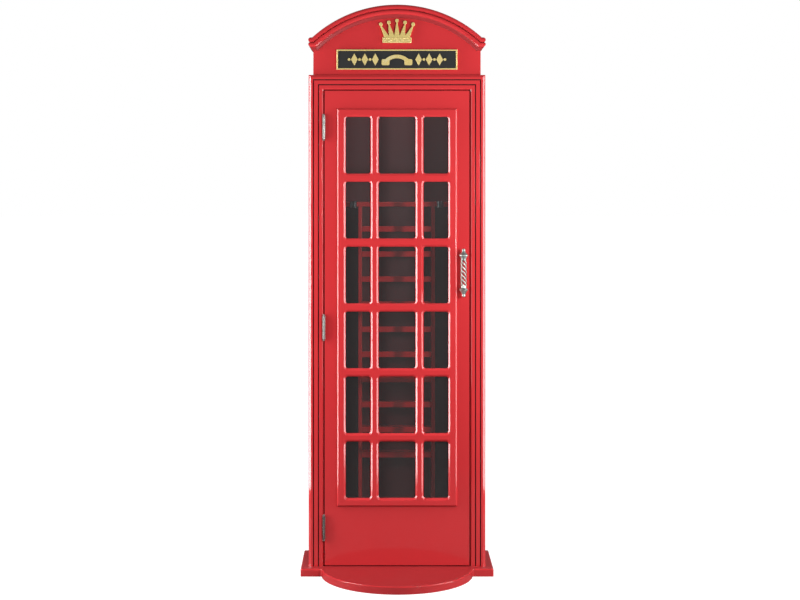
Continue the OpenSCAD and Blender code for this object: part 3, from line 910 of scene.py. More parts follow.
def line_mesh(name: str, runs: Sequence[Sequence[Vector]]) -> bpy.types.Mesh:
    """Makes a mesh of open runs of edges.

    Args:
        name: The mesh's name.
        runs: The points of each run.

    Returns:
        The mesh.
    """
    points, edges = [], []
    for run in runs:
        edges += [(len(points) + i, len(points) + i + 1) for i in range(len(run) - 1)]
        points += [tuple(p) for p in run]
    mesh = bpy.data.meshes.new(name)
    mesh.from_pydata(points, edges, [])
    return mesh


@dataclass(frozen=True)
class ScrewForm:
    """A screw with a cross recess, made once and copied by the fastener recipe."""

    name: str
    head_r: float
    head_t: float
    shank_r: float
    shank_l: float
    countersunk: bool = False

    def build(self) -> bpy.types.Object:
        """Makes the form, which stays out of the scene.

        Returns:
            An object with its head's top at the origin and its shank down the Z axis.
        """
        r, t = self.head_r * MM, self.head_t * MM
        shank, length = self.shank_r * MM, self.shank_l * MM
        if self.countersunk:
            head = [(r, -t * 0.25), (r, -t * 0.05), (r * 0.96, 0.0)]
        else:
            head = [(r, -t)] + arc((r * 0.45, -t), r * 0.55, 0, 80, 5)[1:]
            head = [(x, -t + (z + t) * t / (r * 0.55)) for x, z in head]
        outline = [(0.0, -length), (shank * 0.4, -length), (shank, -length + 3 * shank), (shank, -t)]
        outline += head + [(0.0, head[-1][1])]

        def shape(work: BMesh) -> None:
            turned(work, outline, Matrix.Identity(4), steps=24)

        piece = add_shape(self.name, shape)
        cutter = add_shape(f"{self.name}_cross", self.cross)
        cut = piece.modifiers.new("cross", "BOOLEAN")
        cut.object = cutter
        cut.solver = "EXACT"
        bake_modifiers(piece)
        smooth_faces(piece.data)
        bpy.data.objects.remove(cutter)
        bpy.context.scene.collection.objects.unlink(piece)
        return piece

    def cross(self, work: BMesh) -> None:
        """Adds the cross that is cut out of the head.

        Args:
            work: The bmesh that gets it.
        """
        arm, half, deep = self.head_r * 0.62 * MM, self.head_r * 0.13 * MM, self.head_t * 0.6 * MM
        corners = [(arm, -half), (arm, half), (half, half), (half, arm), (-half, arm), (-half, half),
                   (-arm, half), (-arm, -half), (-half, -half), (-half, -arm), (half, -arm), (half, -half)]
        levels = ((-deep, 0.5), (2 * deep, 1.5))
        loft(work, [[Vector((x * share, y * share, z)) for x, y in corners] for z, share in levels])


# ---------------------------------------------------------------------------
# Sub-assemblies
# ---------------------------------------------------------------------------


@dataclass
class Carcass:
    """The boards of the cabinet: plinth, sides, ceiling, back, stops and catch."""

    plinth_round: float = 4.5
    foot_share: float = 0.15
    # Share of painted shade on the plinth's upward faces.
    tread_shade: float = 0.4
    board_round: float = 0.8
    lining_round: float = 0.4
    stop_round: float = 1.0
    catch_round: float = 1.2
    screw: ScrewForm = ScrewForm("back_screw", 4.0, 2.4, 1.6, 24.0, countersunk=True)
    screw_depth: float = 0.5
    back_rows: int = 6
    row_margin: float = 40.0
    screw_inset: float = 9.0
    pole_size: tuple[float, float, float] = (1.2, 1.6, 15.0)
    pole_apart: float = 4.0
    pole_proud: float = 0.2

    def build(self) -> None:
        """Makes every board."""
        plinth = eased_copy("plinth_board", "plinth_and_step", self.plinth_round, 4, foot=self.foot_share)
        # Painted shade on the plinth's top and step: upward faces are darkened and dulled, the more so the
        # more squarely they face up.
        mark_painted_shade(plinth, lambda middle, normal: self.tread_shade * max(0.0, normal.z) ** 8)
        dress(plinth, Slot.LACQUER, Body.CABINET, ["plinth_board"])
        for node in ("side_board_left", "side_board_right"):
            swap(node, f"{node}_painted", self.board_round, 3, Slot.LACQUER)
        for node in ("ceiling_board", "back_panel"):
            # The back and ceiling take the darker copy of the red paint, with painted shade.
            swap(node, f"{node}_painted", self.lining_round, 2, Slot.INTERIOR)
        for node in ("door_stop_side", "door_stop_top"):
            swap(node, f"{node}_strip", self.stop_round, 2, Slot.LACQUER)
        self.screws()
        self.catch()

    def screws(self) -> None:
        """Makes the screws that hold the back panel."""
        low, high = span_of("back_panel")
        run = high.z - low.z - 2 * self.row_margin * MM
        places = []
        for x in (low.x + self.screw_inset * MM, high.x - self.screw_inset * MM):
            for i in range(self.back_rows):
                z = low.z + self.row_margin * MM + run * i / (self.back_rows - 1)
                places.append(Vector((x, high.y - self.screw_depth * MM, z)))
        form = self.screw.build()
        fasten("back_panel_screws", form, places, Vector((0, 1, 0)), Body.CABINET, "back_screws")

    def catch(self) -> None:
        """Makes the magnetic catch with its two pole strips."""
        swap("magnetic_catch", "catch_housing", self.catch_round, 3, Slot.CATCH)
        low, high = span_of("magnetic_catch")
        middle, strip = (low + high) / 2, Vector(self.pole_size) * MM

        def poles(work: BMesh) -> None:
            for x in (middle.x - self.pole_apart * MM, middle.x + self.pole_apart * MM):
                a = Vector((x - strip.x / 2, low.y - self.pole_proud * MM, middle.z - strip.z))
                b = Vector((x + strip.x / 2, low.y + strip.y, middle.z + strip.z))
                add_block(work, a, b)

        dress(add_shape("catch_poles", poles), Slot.SCREW, Body.CABINET)


def add_block(work: BMesh, low: Vector, high: Vector) -> None:
    """Adds a block with slightly rounded edges.

    Args:
        work: The bmesh that gets it.
        low: Its lowest corner.
        high: Its highest corner.
    """
    made = bmesh.ops.create_cube(work, size=1.0)["verts"]
    for vert in made:
        vert.co = Vector([low[i] + (vert.co[i] + 0.5) * (high[i] - low[i]) for i in range(3)])
    edges = list({edge for vert in made for edge in vert.link_edges})
    reach = min(high[i] - low[i] for i in range(3)) * 0.2
    bmesh.ops.bevel(work, geom=edges, offset=reach, segments=2, profile=0.5, affect="EDGES")


@dataclass
class DoorFrame:
    """The grooved frame round the door: two stiles and a head, mitred."""

    grooves: tuple[float, ...] = (1 / 3, 2 / 3)
    groove_half: float = 1.75
    groove_deep: float = 5.5
    groove_lip: float = 0.2
    clean_edge: float = 0.6
    outer_ease: Profile = (
        (0.0, 6.6), (0.15, 5.9), (0.5, 5.2), (1.0, 4.7), (8.2, 0.0), (8.6, 0.0))
    inner_ease: Profile = (
        (5.8, 0.0), (5.3, 0.0), (4.7, 0.08), (4.2, 0.35), (0.7, 3.39), (0.2, 4.0), (0.0, 4.8))

    def build(self) -> None:
        """Makes the three members."""
        low, high = span_of("frame_stile_left")
        right = span_of("frame_stile_right")[1].x
        width, depth = high.x - low.x, high.y - low.y
        section = self.section(width, depth)
        edge, top, foot, front = low.x, high.z, low.z, low.y

        def left(u: float, v: float, end: int) -> Vector:
            return Vector((edge + u, front + v, top - u if end else foot))

        def across(u: float, v: float, end: int) -> Vector:
            return Vector((right - u if end else edge + u, front + v, top - u))

        def opposite(u: float, v: float, end: int) -> Vector:
            return Vector((right - u, front + v, top - u if end else foot))

        members = {"frame_stile_left": left, "frame_head": across, "frame_stile_right": opposite}
        for node, place in members.items():
            def shape(work: BMesh, place: Callable[[float, float, int], Vector] = place) -> None:
                loft(work, [[place(u, v, end) for u, v in section] for end in (0, 1)])
            piece = add_shape(f"{node}_moulding", shape)
            # Painted shade: the grooves' walls and floors are darkened to near black and dulled.
            mark_painted_shade(piece, self.in_groove(node, low, high, right))
            dress(piece, Slot.LACQUER, Body.CABINET, [node])

    def in_groove(self, node: str, low: Vector, high: Vector, right: float) -> PaintedShadeShare:
        """Tells where the grooves of a member are.

        Args:
            node: The member.
            low: The left stile's lowest corner.
            high: Its highest corner.
            right: How far the frame reaches to the right.

        Returns:
            A test of a face's middle, which gives 1 in a groove and 0 elsewhere.
        """
        across = {
            "frame_stile_left": lambda middle: middle.x - low.x,
            "frame_head": lambda middle: high.z - middle.z,
            "frame_stile_right": lambda middle: right - middle.x}[node]
        width, reach = high.x - low.x, (self.groove_half + self.groove_lip / 2) * MM

        def amount(middle: Vector, normal: Vector) -> float:
            inside = any(abs(across(middle) - width * share) < reach for share in self.grooves)
            return 1.0 if inside and middle.y - low.y > self.clean_edge * MM else 0.0

        return amount

    def section(self, width: float, depth: float) -> Section:
        """The frame's outline: across from its outer edge, and back from its face.

        Args:
            width: The frame's width.
            depth: The frame's thickness.

        Returns:
            The closed outline.
        """
        lip, half, deep = self.groove_lip * MM, self.groove_half * MM, self.groove_deep * MM
        points = [(0.0, depth)] + [(u * MM, v * MM) for u, v in self.outer_ease]
        for share in self.grooves:
            x = width * share
            points += [(x - half - 3 * lip, 0.0)] + arc((x - half - lip, lip), lip, 270, 360, 3)
            points += arc((x, deep - half), half, 180, 0, 8)
            points += arc((x + half + lip, lip), lip, 180, 270, 3) + [(x + half + 3 * lip, 0.0)]
        return points + [(width - u * MM, v * MM) for u, v in self.inner_ease] + [(width, depth)]


@dataclass
class Pediment:
    """The arched box above the door, with its roof and its cornice."""

    overhang: float = 3.5
    bead: float = 8.5
    small_bead: float = 5.5
    flat: float = 1.0
    tail: Profile = (
        (11.0, 31.6), (9.4, 32.6), (7.8, 33.6), (6.6, 35.0), (5.8, 37.0), (4.8, 39.4), (3.6, 41.6),
        (2.4, 43.2))
    groove_half: float = 1.3
    foot_top: float = 31.0
    # Shares of painted shade in the groove between the bands and in the hollow at the foot.
    groove_shade: float = 0.6
    foot_shade: float = 0.45
    board_round: float = 0.6
    stations: int = 72
    nodes: tuple[str, ...] = (
        "pediment_front", "pediment_back", "pediment_side_left", "pediment_side_right", "roof_board")

    def build(self) -> None:
        """Makes the boards and the cornice."""
        for node in self.nodes:
            swap(node, f"{node}_painted", self.board_round, 2, Slot.LACQUER)
        side_low, side_high = span_of("cornice_side_right")
        panel_low, panel_high = span_of("pediment_front")
        self.back = side_high.y
        self.face = panel_low.y
        self.half = panel_high.x
        self.eaves = side_high.z
        self.height = side_high.z - side_low.z
        self.reach = side_high.x - self.half
        self.knee_out = self.half + self.overhang * MM
        rise = CAD_BOX[1].z - self.eaves
        self.radius = (self.knee_out ** 2 + rise ** 2) / (2 * rise)
        self.centre_z = CAD_BOX[1].z - self.radius
        inner = self.radius - self.height
        self.knee_in = math.sqrt(inner ** 2 - (self.eaves - self.height - self.centre_z) ** 2)
        self.outline = self.section()
        self.cornice()

    def section(self) -> Section:
        """The cornice's outline: out from the wall, and down from its top.

        Returns:
            The closed outline.
        """
        bead, small, p = self.bead * MM, self.small_bead * MM, self.reach
        shoulder = 2 * bead + small
        points = [(0.0, 0.0)] + arc((p - bead, bead), bead, -90, 90, 14)
        points += arc((p - small, shoulder), small, -90, 0, 7)
        points += arc((p - small, shoulder + self.flat * MM), small, 0, 40, 4)
        return points + [(u * MM, v * MM) for u, v in self.tail] + [(0.0, self.height)]

    def on_knee(self, down: float) -> tuple[float, float]:
        """Where the arch's line at a given depth crosses the slanted joint with the level end.

        Args:
            down: How far the line is below the arch's top edge.

        Returns:
            The crossing's distance from the middle, and its height.
        """
        slope = (self.knee_out - self.knee_in) / self.height
        want = (self.radius - down) ** 2
        rise = self.eaves - self.centre_z
        a = slope ** 2 + 1
        b = -2 * (self.knee_out * slope + rise)
        c = self.knee_out ** 2 + rise ** 2 - want
        t = (-b - math.sqrt(b * b - 4 * a * c)) / (2 * a)
        return self.knee_out - slope * t, self.eaves - t

    def arch_point(self, u: float, v: float, share: float) -> Vector:
        """A point of the arch's surface.

        Args:
            u: How far out it is.
            v: How far below the arch's top edge it is.
            share: Where it is along the arch, from -1 to 1.

        Returns:
            The point.
        """
        x, z = self.on_knee(v)
        angle = math.atan2(x, z - self.centre_z) * share
        r = self.radius - v
        limit = self.half + u
        x = max(-limit, min(limit, r * math.sin(angle)))
        return Vector((x, self.face - u, self.centre_z + r * math.cos(angle)))

    def cornice(self) -> None:
        """Makes the arch, its level ends and the returns along the sides."""
        def arch(work: BMesh) -> None:
            shares = [-1 + 2 * i / self.stations for i in range(self.stations + 1)]
            loft(work, [[self.arch_point(u, v, share) for u, v in self.outline] for share in shares])

        def ends(work: BMesh) -> None:
            slope = (self.knee_out - self.knee_in) / self.height
            for side in (-1, 1):
                inner, outer = [], []
                for u, v in self.outline:
                    knee = self.knee_out - slope * v
                    inner.append(Vector((side * knee, self.face - u, self.eaves - v)))
                    outer.append(Vector((side * max(self.half + u, knee), self.face - u, self.eaves - v)))
                loft(work, [inner, outer])

        def side_return(work: BMesh, side: int) -> None:
            loft(work, [[Vector((side * (self.half + u), self.back if end else self.face - u, self.eaves - v))
                         for u, v in self.outline] for end in (1, 0)])

        def below_arch(middle: Vector, normal: Vector) -> float:
            return self.hollow(self.radius - math.hypot(middle.x, middle.z - self.centre_z))

        def below_eaves(middle: Vector, normal: Vector) -> float:
            return self.hollow(self.eaves - middle.z)

        pieces = [("cornice_arch", arch, below_arch), ("cornice_ends", ends, below_eaves)]
        for word, side in (("left", -1), ("right", 1)):
            shape = partial(side_return, side=side)
            pieces.append((f"cornice_side_{word}", shape, below_eaves))
        for node, shape, amount in pieces:
            piece = add_shape(f"{node}_moulding", shape)
            # Painted shade in the cornice's groove and under its lower band.
            mark_painted_shade(piece, amount)
            dress(piece, Slot.LACQUER, Body.CABINET, [node])

    def hollow(self, down: float) -> float:
        """The share of painted shade on the cornice.

        Args:
            down: How far below its top edge.

        Returns:
            Much in the groove between the bands, some in the hollow at its foot, none elsewhere.
        """
        if abs(down - 2 * self.bead * MM) < self.groove_half * MM:
            return self.groove_shade
        return self.foot_shade if down > self.foot_top * MM else 0.0


@dataclass
class Sign:
    """The sign and the coronet above it."""

    castings: tuple[tuple[str, str, float, int, Slot], ...] = (
        ("sign_plate", "sign_board", 0.3, 3, Slot.SIGN), ("sign_border", "sign_edging", 1.4, 3, Slot.GILT),
        ("sign_ornament", "sign_relief", 1.2, 3, Slot.GILT),
        ("coronet", "coronet_casting", 2.0, 4, Slot.GILT))
    band_inset: float = 14.0
    bead_rows: tuple[float, float] = (3.2, 14.8)
    bead_r: float = 1.35
    bead_gap: float = 3.0
    jewels: int = 5
    jewel: tuple[float, float] = (6.0, 4.0)
    jewel_height: float = 9.0
    jewel_pitch: float = 0.42
    jewel_sunk: float = 0.5
    jewel_proud: float = 2.0

    def build(self) -> None:
        """Makes the plate, the border, the relief and the coronet."""
        for node, name, width, segments, slot in self.castings:
            swap(node, name, width, segments, slot)
        self.trim()

    def trim(self) -> None:
        """Makes the rows of beads and the jewels on the coronet's band."""
        low, high = span_of("coronet")
        face, middle = low.y, (low.x + high.x) / 2
        half_band = (high.x - low.x) / 2 - self.band_inset * MM
        rows = [[Vector((middle + side * half_band, face, low.z + row * MM)) for side in (-1, 1)]
                for row in self.bead_rows]
        beads = RecipeBook.beads.run("coronet_beads", line_mesh("band_lines", rows), {
            "Spacing": self.bead_gap * MM, "Bead Radius": self.bead_r * MM, "Material": MATERIALS[Slot.GILT]})
        dress(beads, Slot.GILT, Body.CABINET)
        wide, tall = (size * MM for size in self.jewel)
        levels = ((1.0, face + self.jewel_sunk * MM), (0.5, face - self.jewel_proud * MM))

        def shape(work: BMesh) -> None:
            z = low.z + self.jewel_height * MM
            for i in range(self.jewels):
                x = middle + (i - self.jewels // 2) * half_band * self.jewel_pitch
                loft(work, [[Vector((x + wide * a * share, y, z + tall * b * share))
                             for a, b in ((1, 0), (0, 1), (-1, 0), (0, -1))] for share, y in levels])

        dress(add_shape("coronet_jewels", shape), Slot.GILT, Body.CABINET)


@dataclass
class Rack:
    """The rack inside: cue rail, uprights, shelves, clips, base board and felt."""

    shelf_round: float = 1.2
    rail_round: float = 1.5
    clip_round: float = 0.5
    felt_round: float = 0.4

    def build(self) -> None:
        """Makes every piece of the rack."""
        shelves = sorted(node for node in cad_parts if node.startswith("ball_shelf_"))
        # The rack takes the lighter copy of the red paint, with painted light.
        for nodes, ending, width, segments, slot in (
                (("cue_rail", "rack_upright_left", "rack_upright_right", "cue_base"), "painted",
                 self.rail_round, 3, Slot.RACK),
                (shelves, "painted", self.shelf_round, 3, Slot.RACK),
                (("cue_clips_left", "cue_clips_right"), "sprung", self.clip_round, 2, Slot.CLIP),
                (("cue_pads", "bay_liner_left", "bay_liner_right"), "felt", self.felt_round, 2, Slot.FELT)):
            for node in nodes:
                swap(node, f"{node}_{ending}", width, segments, slot)


@dataclass
class GlazedDoor:
    """The door: its slab, the raised grid with the panes, the glass and the beads behind it."""

    slab_round: float = 1.2
    glass_round: float = 0.3
    bead_round: float = 1.5
    side_margin: float = 29.0
    end_margin: float = 26.7
    bar: float = 27.0
    outer_share: float = 0.287
    rows: int = 6
    corner_r: float = 8.0
    corner_steps: int = 8
    slope: Profile = (
        (7.4, 0.0), (7.0, 0.0), (6.6, 0.12), (6.2, 0.42), (0.6, 5.12), (0.25, 5.5), (0.0, 6.0))
    rim_slope: Profile = (
        (5.6, 0.0), (5.2, 0.0), (4.7, 0.1), (4.2, 0.35), (0.9, 3.1), (0.3, 3.7), (0.0, 4.4))

    def build(self) -> None:
        """Makes every piece of the door apart from its ironmongery."""
        swap("door_slab", "door_board", self.slab_round, 3, Slot.LACQUER, Body.DOOR)
        swap("glass_sheet", "glass_pane", self.glass_round, 1, Slot.GLASS, Body.DOOR)
        swap("glazing_beads", "glass_beads", self.bead_round, 3, Slot.LACQUER, Body.DOOR)
        dress(add_shape("glazing_grille", self.grid), Slot.LACQUER, Body.DOOR, ["glazing_grid"])

    def panes(self, low: Vector, high: Vector) -> list[tuple[float, float, float, float]]:
        """Works out where the panes are.

        Args:
            low: The grid's lowest corner.
            high: Its highest corner.

        Returns:
            The left, right, lower and upper side of each pane.
        """
        bar = self.bar * MM
        across = high.x - low.x - 2 * self.side_margin * MM - 2 * bar
        outer = across * self.outer_share
        left = low.x + self.side_margin * MM
        columns = [(left, left + outer), (left + outer + bar, high.x - self.side_margin * MM - outer - bar),
                   (high.x - self.side_margin * MM - outer, high.x - self.side_margin * MM)]
        foot = low.z + self.end_margin * MM
        tall = (high.z - low.z - 2 * self.end_margin * MM - (self.rows - 1) * bar) / self.rows
        rows = [(foot + i * (tall + bar), foot + i * (tall + bar) + tall) for i in range(self.rows)]
        return [(*column, *row) for column in columns for row in rows]

    def rounded(self, sides: tuple[float, float, float, float], out: float, y: float) -> list[Vector]:
        """A rounded rectangle, seen from the front.

        Args:
            sides: The pane's left, right, lower and upper side.
            out: How far the rectangle stands out from those sides, in millimetres.
            y: Its depth.

        Returns:
            The loop of points.
        """
        left, right, low, high = sides
        r = (self.corner_r + out) * MM
        x_low, x_high = left - out * MM + r, right + out * MM - r
        z_low, z_high = low - out * MM + r, high + out * MM - r
        corners = [(x_high, z_low, -90), (x_high, z_high, 0), (x_low, z_high, 90), (x_low, z_low, 180)]
        loop = []
        for x, z, start in corners:
            loop += [Vector((a, y, b)) for a, b in arc((x, z), r, start, start + 90, self.corner_steps)]
        return loop

    def grid(self, work: BMesh) -> None:
        """Makes the raised grid, with a sloped edge round each pane and an eased edge round the whole.

        Args:
            work: The bmesh that gets it.
        """
        low, high = span_of("glazing_grid")
        rim = []
        for inset, deep in self.rim_slope:
            left, right = low.x + inset * MM, high.x - inset * MM
            foot, top, y = low.z + inset * MM, high.z - inset * MM, low.y + deep * MM
            corners = ((left, foot), (right, foot), (right, top), (left, top))
            rim.append([Vector((x, y, z)) for x, z in corners])
        rim.append([Vector((p.x, high.y, p.z)) for p in rim[-1]])
        fronts, backs = [rim[0]], [rim[-1]]
        loft(work, rim, capped=False)
        for pane in self.panes(low, high):
            loops = [self.rounded(pane, out, low.y + deep * MM) for out, deep in self.slope]
            loops.append([Vector((p.x, high.y, p.z)) for p in loops[-1]])
            loft(work, loops, capped=False)
            fronts.append(loops[0])
            backs.append(loops[-1])
        self.flat(work, fronts)
        self.flat(work, backs)

    @staticmethod
    def flat(work: BMesh, loops: Sequence[Sequence[Vector]]) -> None:
        """Fills a flat area that has holes.

        Args:
            work: The bmesh that gets the faces.
            loops: The outline, then the holes.
        """
        verts = [work.verts.new(point) for loop in loops for point in loop]
        flat_loops = [[Vector((p.x, p.z, 0.0)) for p in loop] for loop in loops]
        for triangle in geometry.tessellate_polygon(flat_loops):
            work.faces.new([verts[i] for i in triangle])


@dataclass
class Hinges:
    """The butt hinges: leaves, pins with ball tips, and their screws."""

    pin_r: float = 2.2
    barrel_r: float = 4.5
    leaf_w: float = 16.0
    side_gap: float = 4.0
    leaf_t: float = 1.8
    height: float = 76.0
    mids: tuple[float, ...] = (155.0, 820.0, 1485.0)
    leaf_round: float = 0.35
    screw: ScrewForm = ScrewForm("hinge_screw", 3.3, 1.2, 1.6, 18.0, countersunk=True)
    screw_rows: tuple[float, ...] = (-28.0, 0.0, 28.0)
    screw_share: float = 0.55

    def build(self) -> None:
        """Makes every part of the hinges."""
        for side, body in (("frame", Body.CABINET), ("door", Body.DOOR)):
            swap(f"hinge_{side}_leaves", f"hinge_leaves_on_{side}", self.leaf_round, 2, Slot.HINGE, body)
        low, high = span_of("hinge_pins")
        x, y = (low.x + high.x) / 2, (low.y + high.y) / 2
        tip = high.z - (self.mids[-1] + self.height / 2) * MM

        def pins(work: BMesh) -> None:
            half, r = self.height / 2 * MM, (high.x - low.x) / 2
            ball = [(r * math.sin(math.radians(a)), half + tip / 2 - tip / 2 * math.cos(math.radians(a)))
                    for a in range(30, 181, 15)]
            top = [(self.pin_r * MM, half)] + ball
            outline = [(radius, -height) for radius, height in reversed(top)] + top
            for mid in self.mids:
                turned(work, outline, Matrix.Translation((x, y, mid * MM)), steps=28)

        dress(add_shape("hinge_pins_turned", pins), Slot.HINGE, Body.CABINET, ["hinge_pins"])
        form = self.screw.build()
        for side, body, node in (
                (-1, Body.CABINET, "hinge_screws_frame"), (1, Body.DOOR, "hinge_screws_door")):
            face = x + side * (self.side_gap / 2 - self.leaf_t) * MM
            row_y = y + (self.barrel_r + self.leaf_w * self.screw_share) * MM
            places = [Vector((face, row_y, (mid + row) * MM)) for mid in self.mids for row in self.screw_rows]
            fasten(f"{node}_heads", form, places, Vector((-side, 0, 0)), body, node)


@dataclass
class DoorPull:
    """The pull: a cage of twisted strands between two turned knops, with posts and bolts."""

    strands: int = 4
    lead: float = 59.0
    strand_r: float = 2.3
    waist: float = 7.8
    post_inset: float = 24.0
    post_r: float = 4.5
    rosette_t: float = 3.0
    end_gap: float = 0.5
    core_round: float = 0.3
    plate_round: float = 0.3
    bolt_r: float = 2.0
    bolt_head: tuple[float, float] = (4.5, 2.5)
    upper: Profile = (
        (0.0, -1.5), (7.0, -1.5), (7.6, 0.0), (8.4, 1.6), (8.4, 3.2), (9.0, 4.6), (11.0, 8.0), (13.0, 11.8),
        (14.3, 13.6), (14.7, 15.0), (14.4, 16.2), (13.0, 17.8), (11.2, 20.0), (8.6, 23.2), (6.8, 26.0),
        (5.8, 27.6))
    upper_ball: tuple[float, int] = (5.9, 60)
    lower: Profile = (
        (0.0, -1.5), (7.2, -1.5), (8.0, 0.0), (8.6, 1.8), (8.5, 3.6), (9.2, 5.6), (10.8, 8.4), (13.2, 11.0),
        (14.5, 12.4), (14.7, 13.2), (14.2, 14.4), (12.4, 15.8), (10.6, 18.2), (8.4, 22.0), (6.6, 25.6),
        (5.6, 27.0))
    lower_ball: tuple[float, int] = (6.2, 58)

    def build(self) -> None:
        """Makes every part of the pull."""
        low, high = span_of("handle_twist")
        tip_low = span_of("handle_knop_lower")[0]
        tip_high = span_of("handle_knop_upper")[1]
        x, y = (low.x + high.x) / 2, (low.y + high.y) / 2
        height = high.z - low.z
        belly = (high.x - low.x) / 2 - self.strand_r * MM
        start = bpy.data.meshes.new("twist_start")
        twist = RecipeBook.twist.run("pull_twist", start, {
            "Strands": self.strands, "Turns": height / (self.lead * MM),
            "Height": height - 2 * self.end_gap * MM,
            "Waist": self.waist * MM, "Belly": belly, "Strand Radius": self.strand_r * MM,
            "Place": (x, y, low.z + self.end_gap * MM), "Material": MATERIALS[Slot.PEWTER]})
        dress(twist, Slot.PEWTER, Body.DOOR, ["handle_twist"])
        swap("handle_core", "pull_core", self.core_round, 2, Slot.LACQUER, Body.DOOR)
        middle = (low.z + high.z) / 2
        half = (tip_high.z - tip_low.z) / 2
        face = span_of("handle_knop_upper")[1].y
        for node, end in (("handle_knop_upper", 1), ("handle_knop_lower", -1)):
            points, ball = (self.upper, self.upper_ball) if end > 0 else (self.lower, self.lower_ball)
            outline = self.knop(points, ball, half - height / 2)
            flip = Matrix.Scale(-1, 4, (0, 0, 1)) if end < 0 else Matrix.Identity(4)
            place = Matrix.Translation((x, y, middle + end * height / 2)) @ flip
            z = middle + end * (half - self.post_inset * MM)
            back = Matrix.Translation((x, face, z)) @ Matrix.Rotation(math.radians(90), 4, "X")

            def shape(work: BMesh, outline: Section = outline, place: Matrix = place,
                      back: Matrix = back) -> None:
                turned(work, outline, place)
                turned(work, self.post(face - y), back, steps=32)

            dress(add_shape(f"{node}_turned", shape), Slot.PEWTER, Body.DOOR, [node])
        self.bolts(x, middle, half)

    @staticmethod
    def knop(points: Profile, ball: tuple[float, int], length: float) -> Section:
        """A knop's outline, from the face that the strands meet to its tip.

        Args:
            points: The outline up to the ball, in millimetres.
            ball: The ball's radius in millimetres, and the angle from its foot where it leaves the neck.
            length: How long the knop is.

        Returns:
            The outline.
        """
        r, start = ball[0] * MM, ball[1]
        angles = [math.radians(start + (180 - start) * i / 10) for i in range(11)]
        tip = [(r * math.sin(a), length - r - r * math.cos(a)) for a in angles]
        return [(radius * MM, height * MM) for radius, height in points] + tip

    def post(self, reach: float) -> Section:
        """The outline of a post with its rosette.

        Args:
            reach: How far the pull's axis stands from the door.

        Returns:
            The outline, from the door outwards.
        """
        r, t = self.post_r * MM, self.rosette_t * MM
        foot = [(0.0, 0.0), (2 * r, 0.0), (2 * r, t * 0.45), (2 * r * 0.93, t * 0.7), (2 * r * 0.8, t * 0.75)]
        return foot + [(2 * r * 0.72, t), (r * 1.15, t * 1.1), (r, t * 1.5), (r, reach), (0.0, reach)]

    def bolts(self, x: float, middle: float, half: float) -> None:
        """Makes the bolts that hold the pull from behind the door.

        Args:
            x: The pull's place across the door.
            middle: The pull's mid height.
            half: Half its length.
        """
        low, high = span_of("handle_bolts")
        form = ScrewForm("pull_bolt", *self.bolt_head, self.bolt_r, (high.y - low.y) / MM).build()
        places = [Vector((x, high.y, middle + end * (half - self.post_inset * MM))) for end in (-1, 1)]
        fasten("pull_bolt_heads", form, places, Vector((0, 1, 0)), Body.DOOR, "handle_bolts")
        swap("strike_plate", "catch_strike", self.plate_round, 2, Slot.SCREW, Body.DOOR)


# ---------------------------------------------------------------------------
# Studio
# ---------------------------------------------------------------------------


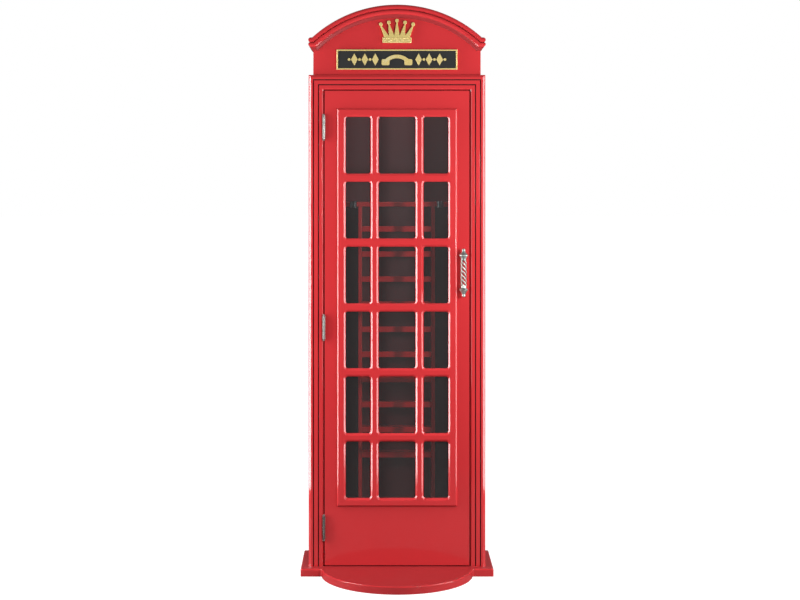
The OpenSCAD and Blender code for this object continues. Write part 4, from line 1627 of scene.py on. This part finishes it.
@dataclass
class Studio:
    """The floor, the air, the soft lights and the camera."""

    floor_half: float = 40.0
    strip_place: tuple[float, float, float] = (1.25, -0.23, 1.06)
    strip_size: tuple[float, float] = (0.22, 1.96)
    strip_power_left: float = 24.0
    strip_power_right: float = 13.0
    screen_place: tuple[float, float, float] = (1.3, -0.66, 1.15)
    screen_size: tuple[float, float] = (0.45, 1.5)
    screen_power: float = 6.0
    key_place: tuple[float, float, float] = (0.95, -1.5, 1.28)
    key_aim: tuple[float, float, float] = (0.1, 0.0, 1.15)
    key_size: tuple[float, float] = (0.20, 0.30)
    key_power: float = 22.0
    rear_place: tuple[float, float, float] = (0.0, 2.3, 1.5)
    rear_aim: tuple[float, float, float] = (0.0, 0.0, 1.0)
    rear_size: tuple[float, float] = (1.4, 1.4)
    rear_power: float = 26.0
    inner_place: tuple[float, float, float] = (0.0, 0.05, 1.63)
    inner_size: tuple[float, float] = (0.44, 0.03)
    inner_power: float = 0.4
    world_light: float = 0.17
    world_shine: float = 0.13
    floor_glow: float = 1.0
    eye: tuple[float, float, float] = (-0.0512, -5.118, 1.3386)
    lens: float = 69.5
    shift: tuple[float, float] = (0.023, -0.1608)

    def build(self) -> None:
        """Makes the studio."""
        self.floor()
        self.world()
        for word, side in (("left", -1), ("right", 1)):
            power = self.strip_power_left if side < 0 else self.strip_power_right
            for name, (x, y, z), size, watts in (
                    ("strip", self.strip_place, self.strip_size, power),
                    ("screen", self.screen_place, self.screen_size, self.screen_power)):
                self.panel(f"{name}_{word}", Vector((side * x, y, z)), Vector((0.0, 0.0, z)), size, watts)
        self.panel("key", Vector(self.key_place), Vector(self.key_aim), self.key_size, self.key_power)
        self.panel("rear", Vector(self.rear_place), Vector(self.rear_aim), self.rear_size, self.rear_power,
                   shines=False)
        place = Vector(self.inner_place)
        self.panel("inner", place, place + Vector((0.0, 0.3, -1.0)), self.inner_size, self.inner_power)
        self.camera()

    def floor(self) -> None:
        """Makes the floor: a mid grey that glows white for the eye alone."""
        half = self.floor_half

        def sheet(work: BMesh) -> None:
            work.faces.new([work.verts.new((x * half, y * half, 0.0))
                            for x, y in ((-1, -1), (1, -1), (1, 1), (-1, 1))])

        piece = add_shape("studio_floor", sheet)
        material, tree, shader = start_material("studio_floor", {"Specular IOR Level": 0.2})
        cloud = tree.ramp(tree.noise(1.5, 3.0, tree.coords()), 0.3, 0.7)
        seen = tree.add("ShaderNodeLightPath").outputs["Is Camera Ray"]
        tree.feed(shader, {
            "Base Color": tree.blend(cloud, (0.20, 0.20, 0.20), (0.22, 0.22, 0.22)),
            "Roughness": tree.math("ADD", tree.math("MULTIPLY", cloud, 0.1), 0.6),
            "Emission Color": (1.0, 1.0, 1.0, 1.0),
            "Emission Strength": tree.math("MULTIPLY", seen, self.floor_glow)})
        piece.data.materials.append(material)

    def world(self) -> None:
        """Makes the even surrounding light, which the eye sees as white."""
        world = bpy.data.worlds.new("studio_air")
        bpy.context.scene.world = world
        world.use_nodes = True
        sheet = Sheet(world.node_tree)
        background = world.node_tree.nodes["Background"]
        path = sheet.add("ShaderNodeLightPath").outputs
        seen = sheet.math("MULTIPLY", path["Is Camera Ray"], 1.0 - self.world_light)
        shine = sheet.math("MULTIPLY", path["Is Glossy Ray"], self.world_light - self.world_shine)
        light = sheet.math("ADD", seen, self.world_light)
        sheet.feed(background, {
            "Strength": sheet.math("SUBTRACT", light, shine), "Color": (1.0, 1.0, 1.0, 1.0)})

    def panel(self, name: str, place: Vector, target: Vector, size: tuple[float, float], power: float,
              shines: bool = True) -> None:
        """Places a soft light that faces a point.

        Args:
            name: The light's name.
            place: Where it stands.
            target: What it faces.
            size: Its width and height.
            power: Its power.
            shines: Whether it shows in glossy surfaces.
        """
        data = bpy.data.lights.new(name, "AREA")
        data.shape = "RECTANGLE"
        data.size, data.size_y = size
        data.energy = power
        light = bpy.data.objects.new(name, data)
        light.location = place
        light.rotation_euler = (target - place).to_track_quat("-Z", "Y").to_euler()
        light.visible_camera = False
        light.visible_glossy = shines
        bpy.context.scene.collection.objects.link(light)

    def camera(self) -> None:
        """Places the camera, level and square to the front."""
        data = bpy.data.cameras.new("eye")
        data.lens = self.lens
        data.sensor_width = 36.0
        data.shift_x, data.shift_y = self.shift
        eye = bpy.data.objects.new("eye", data)
        eye.location = self.eye
        eye.rotation_euler = (math.radians(90), 0.0, 0.0)
        scene = bpy.context.scene
        scene.collection.objects.link(eye)
        scene.camera = eye
        scene.view_settings.view_transform = "Standard"


def main() -> None:
    """Builds the cabinet, then the studio."""
    for part in (Carcass, DoorFrame, Pediment, Sign, Rack, GlazedDoor, Hinges, DoorPull, Studio):
        part().build()


if __name__ == "__main__":
    main()
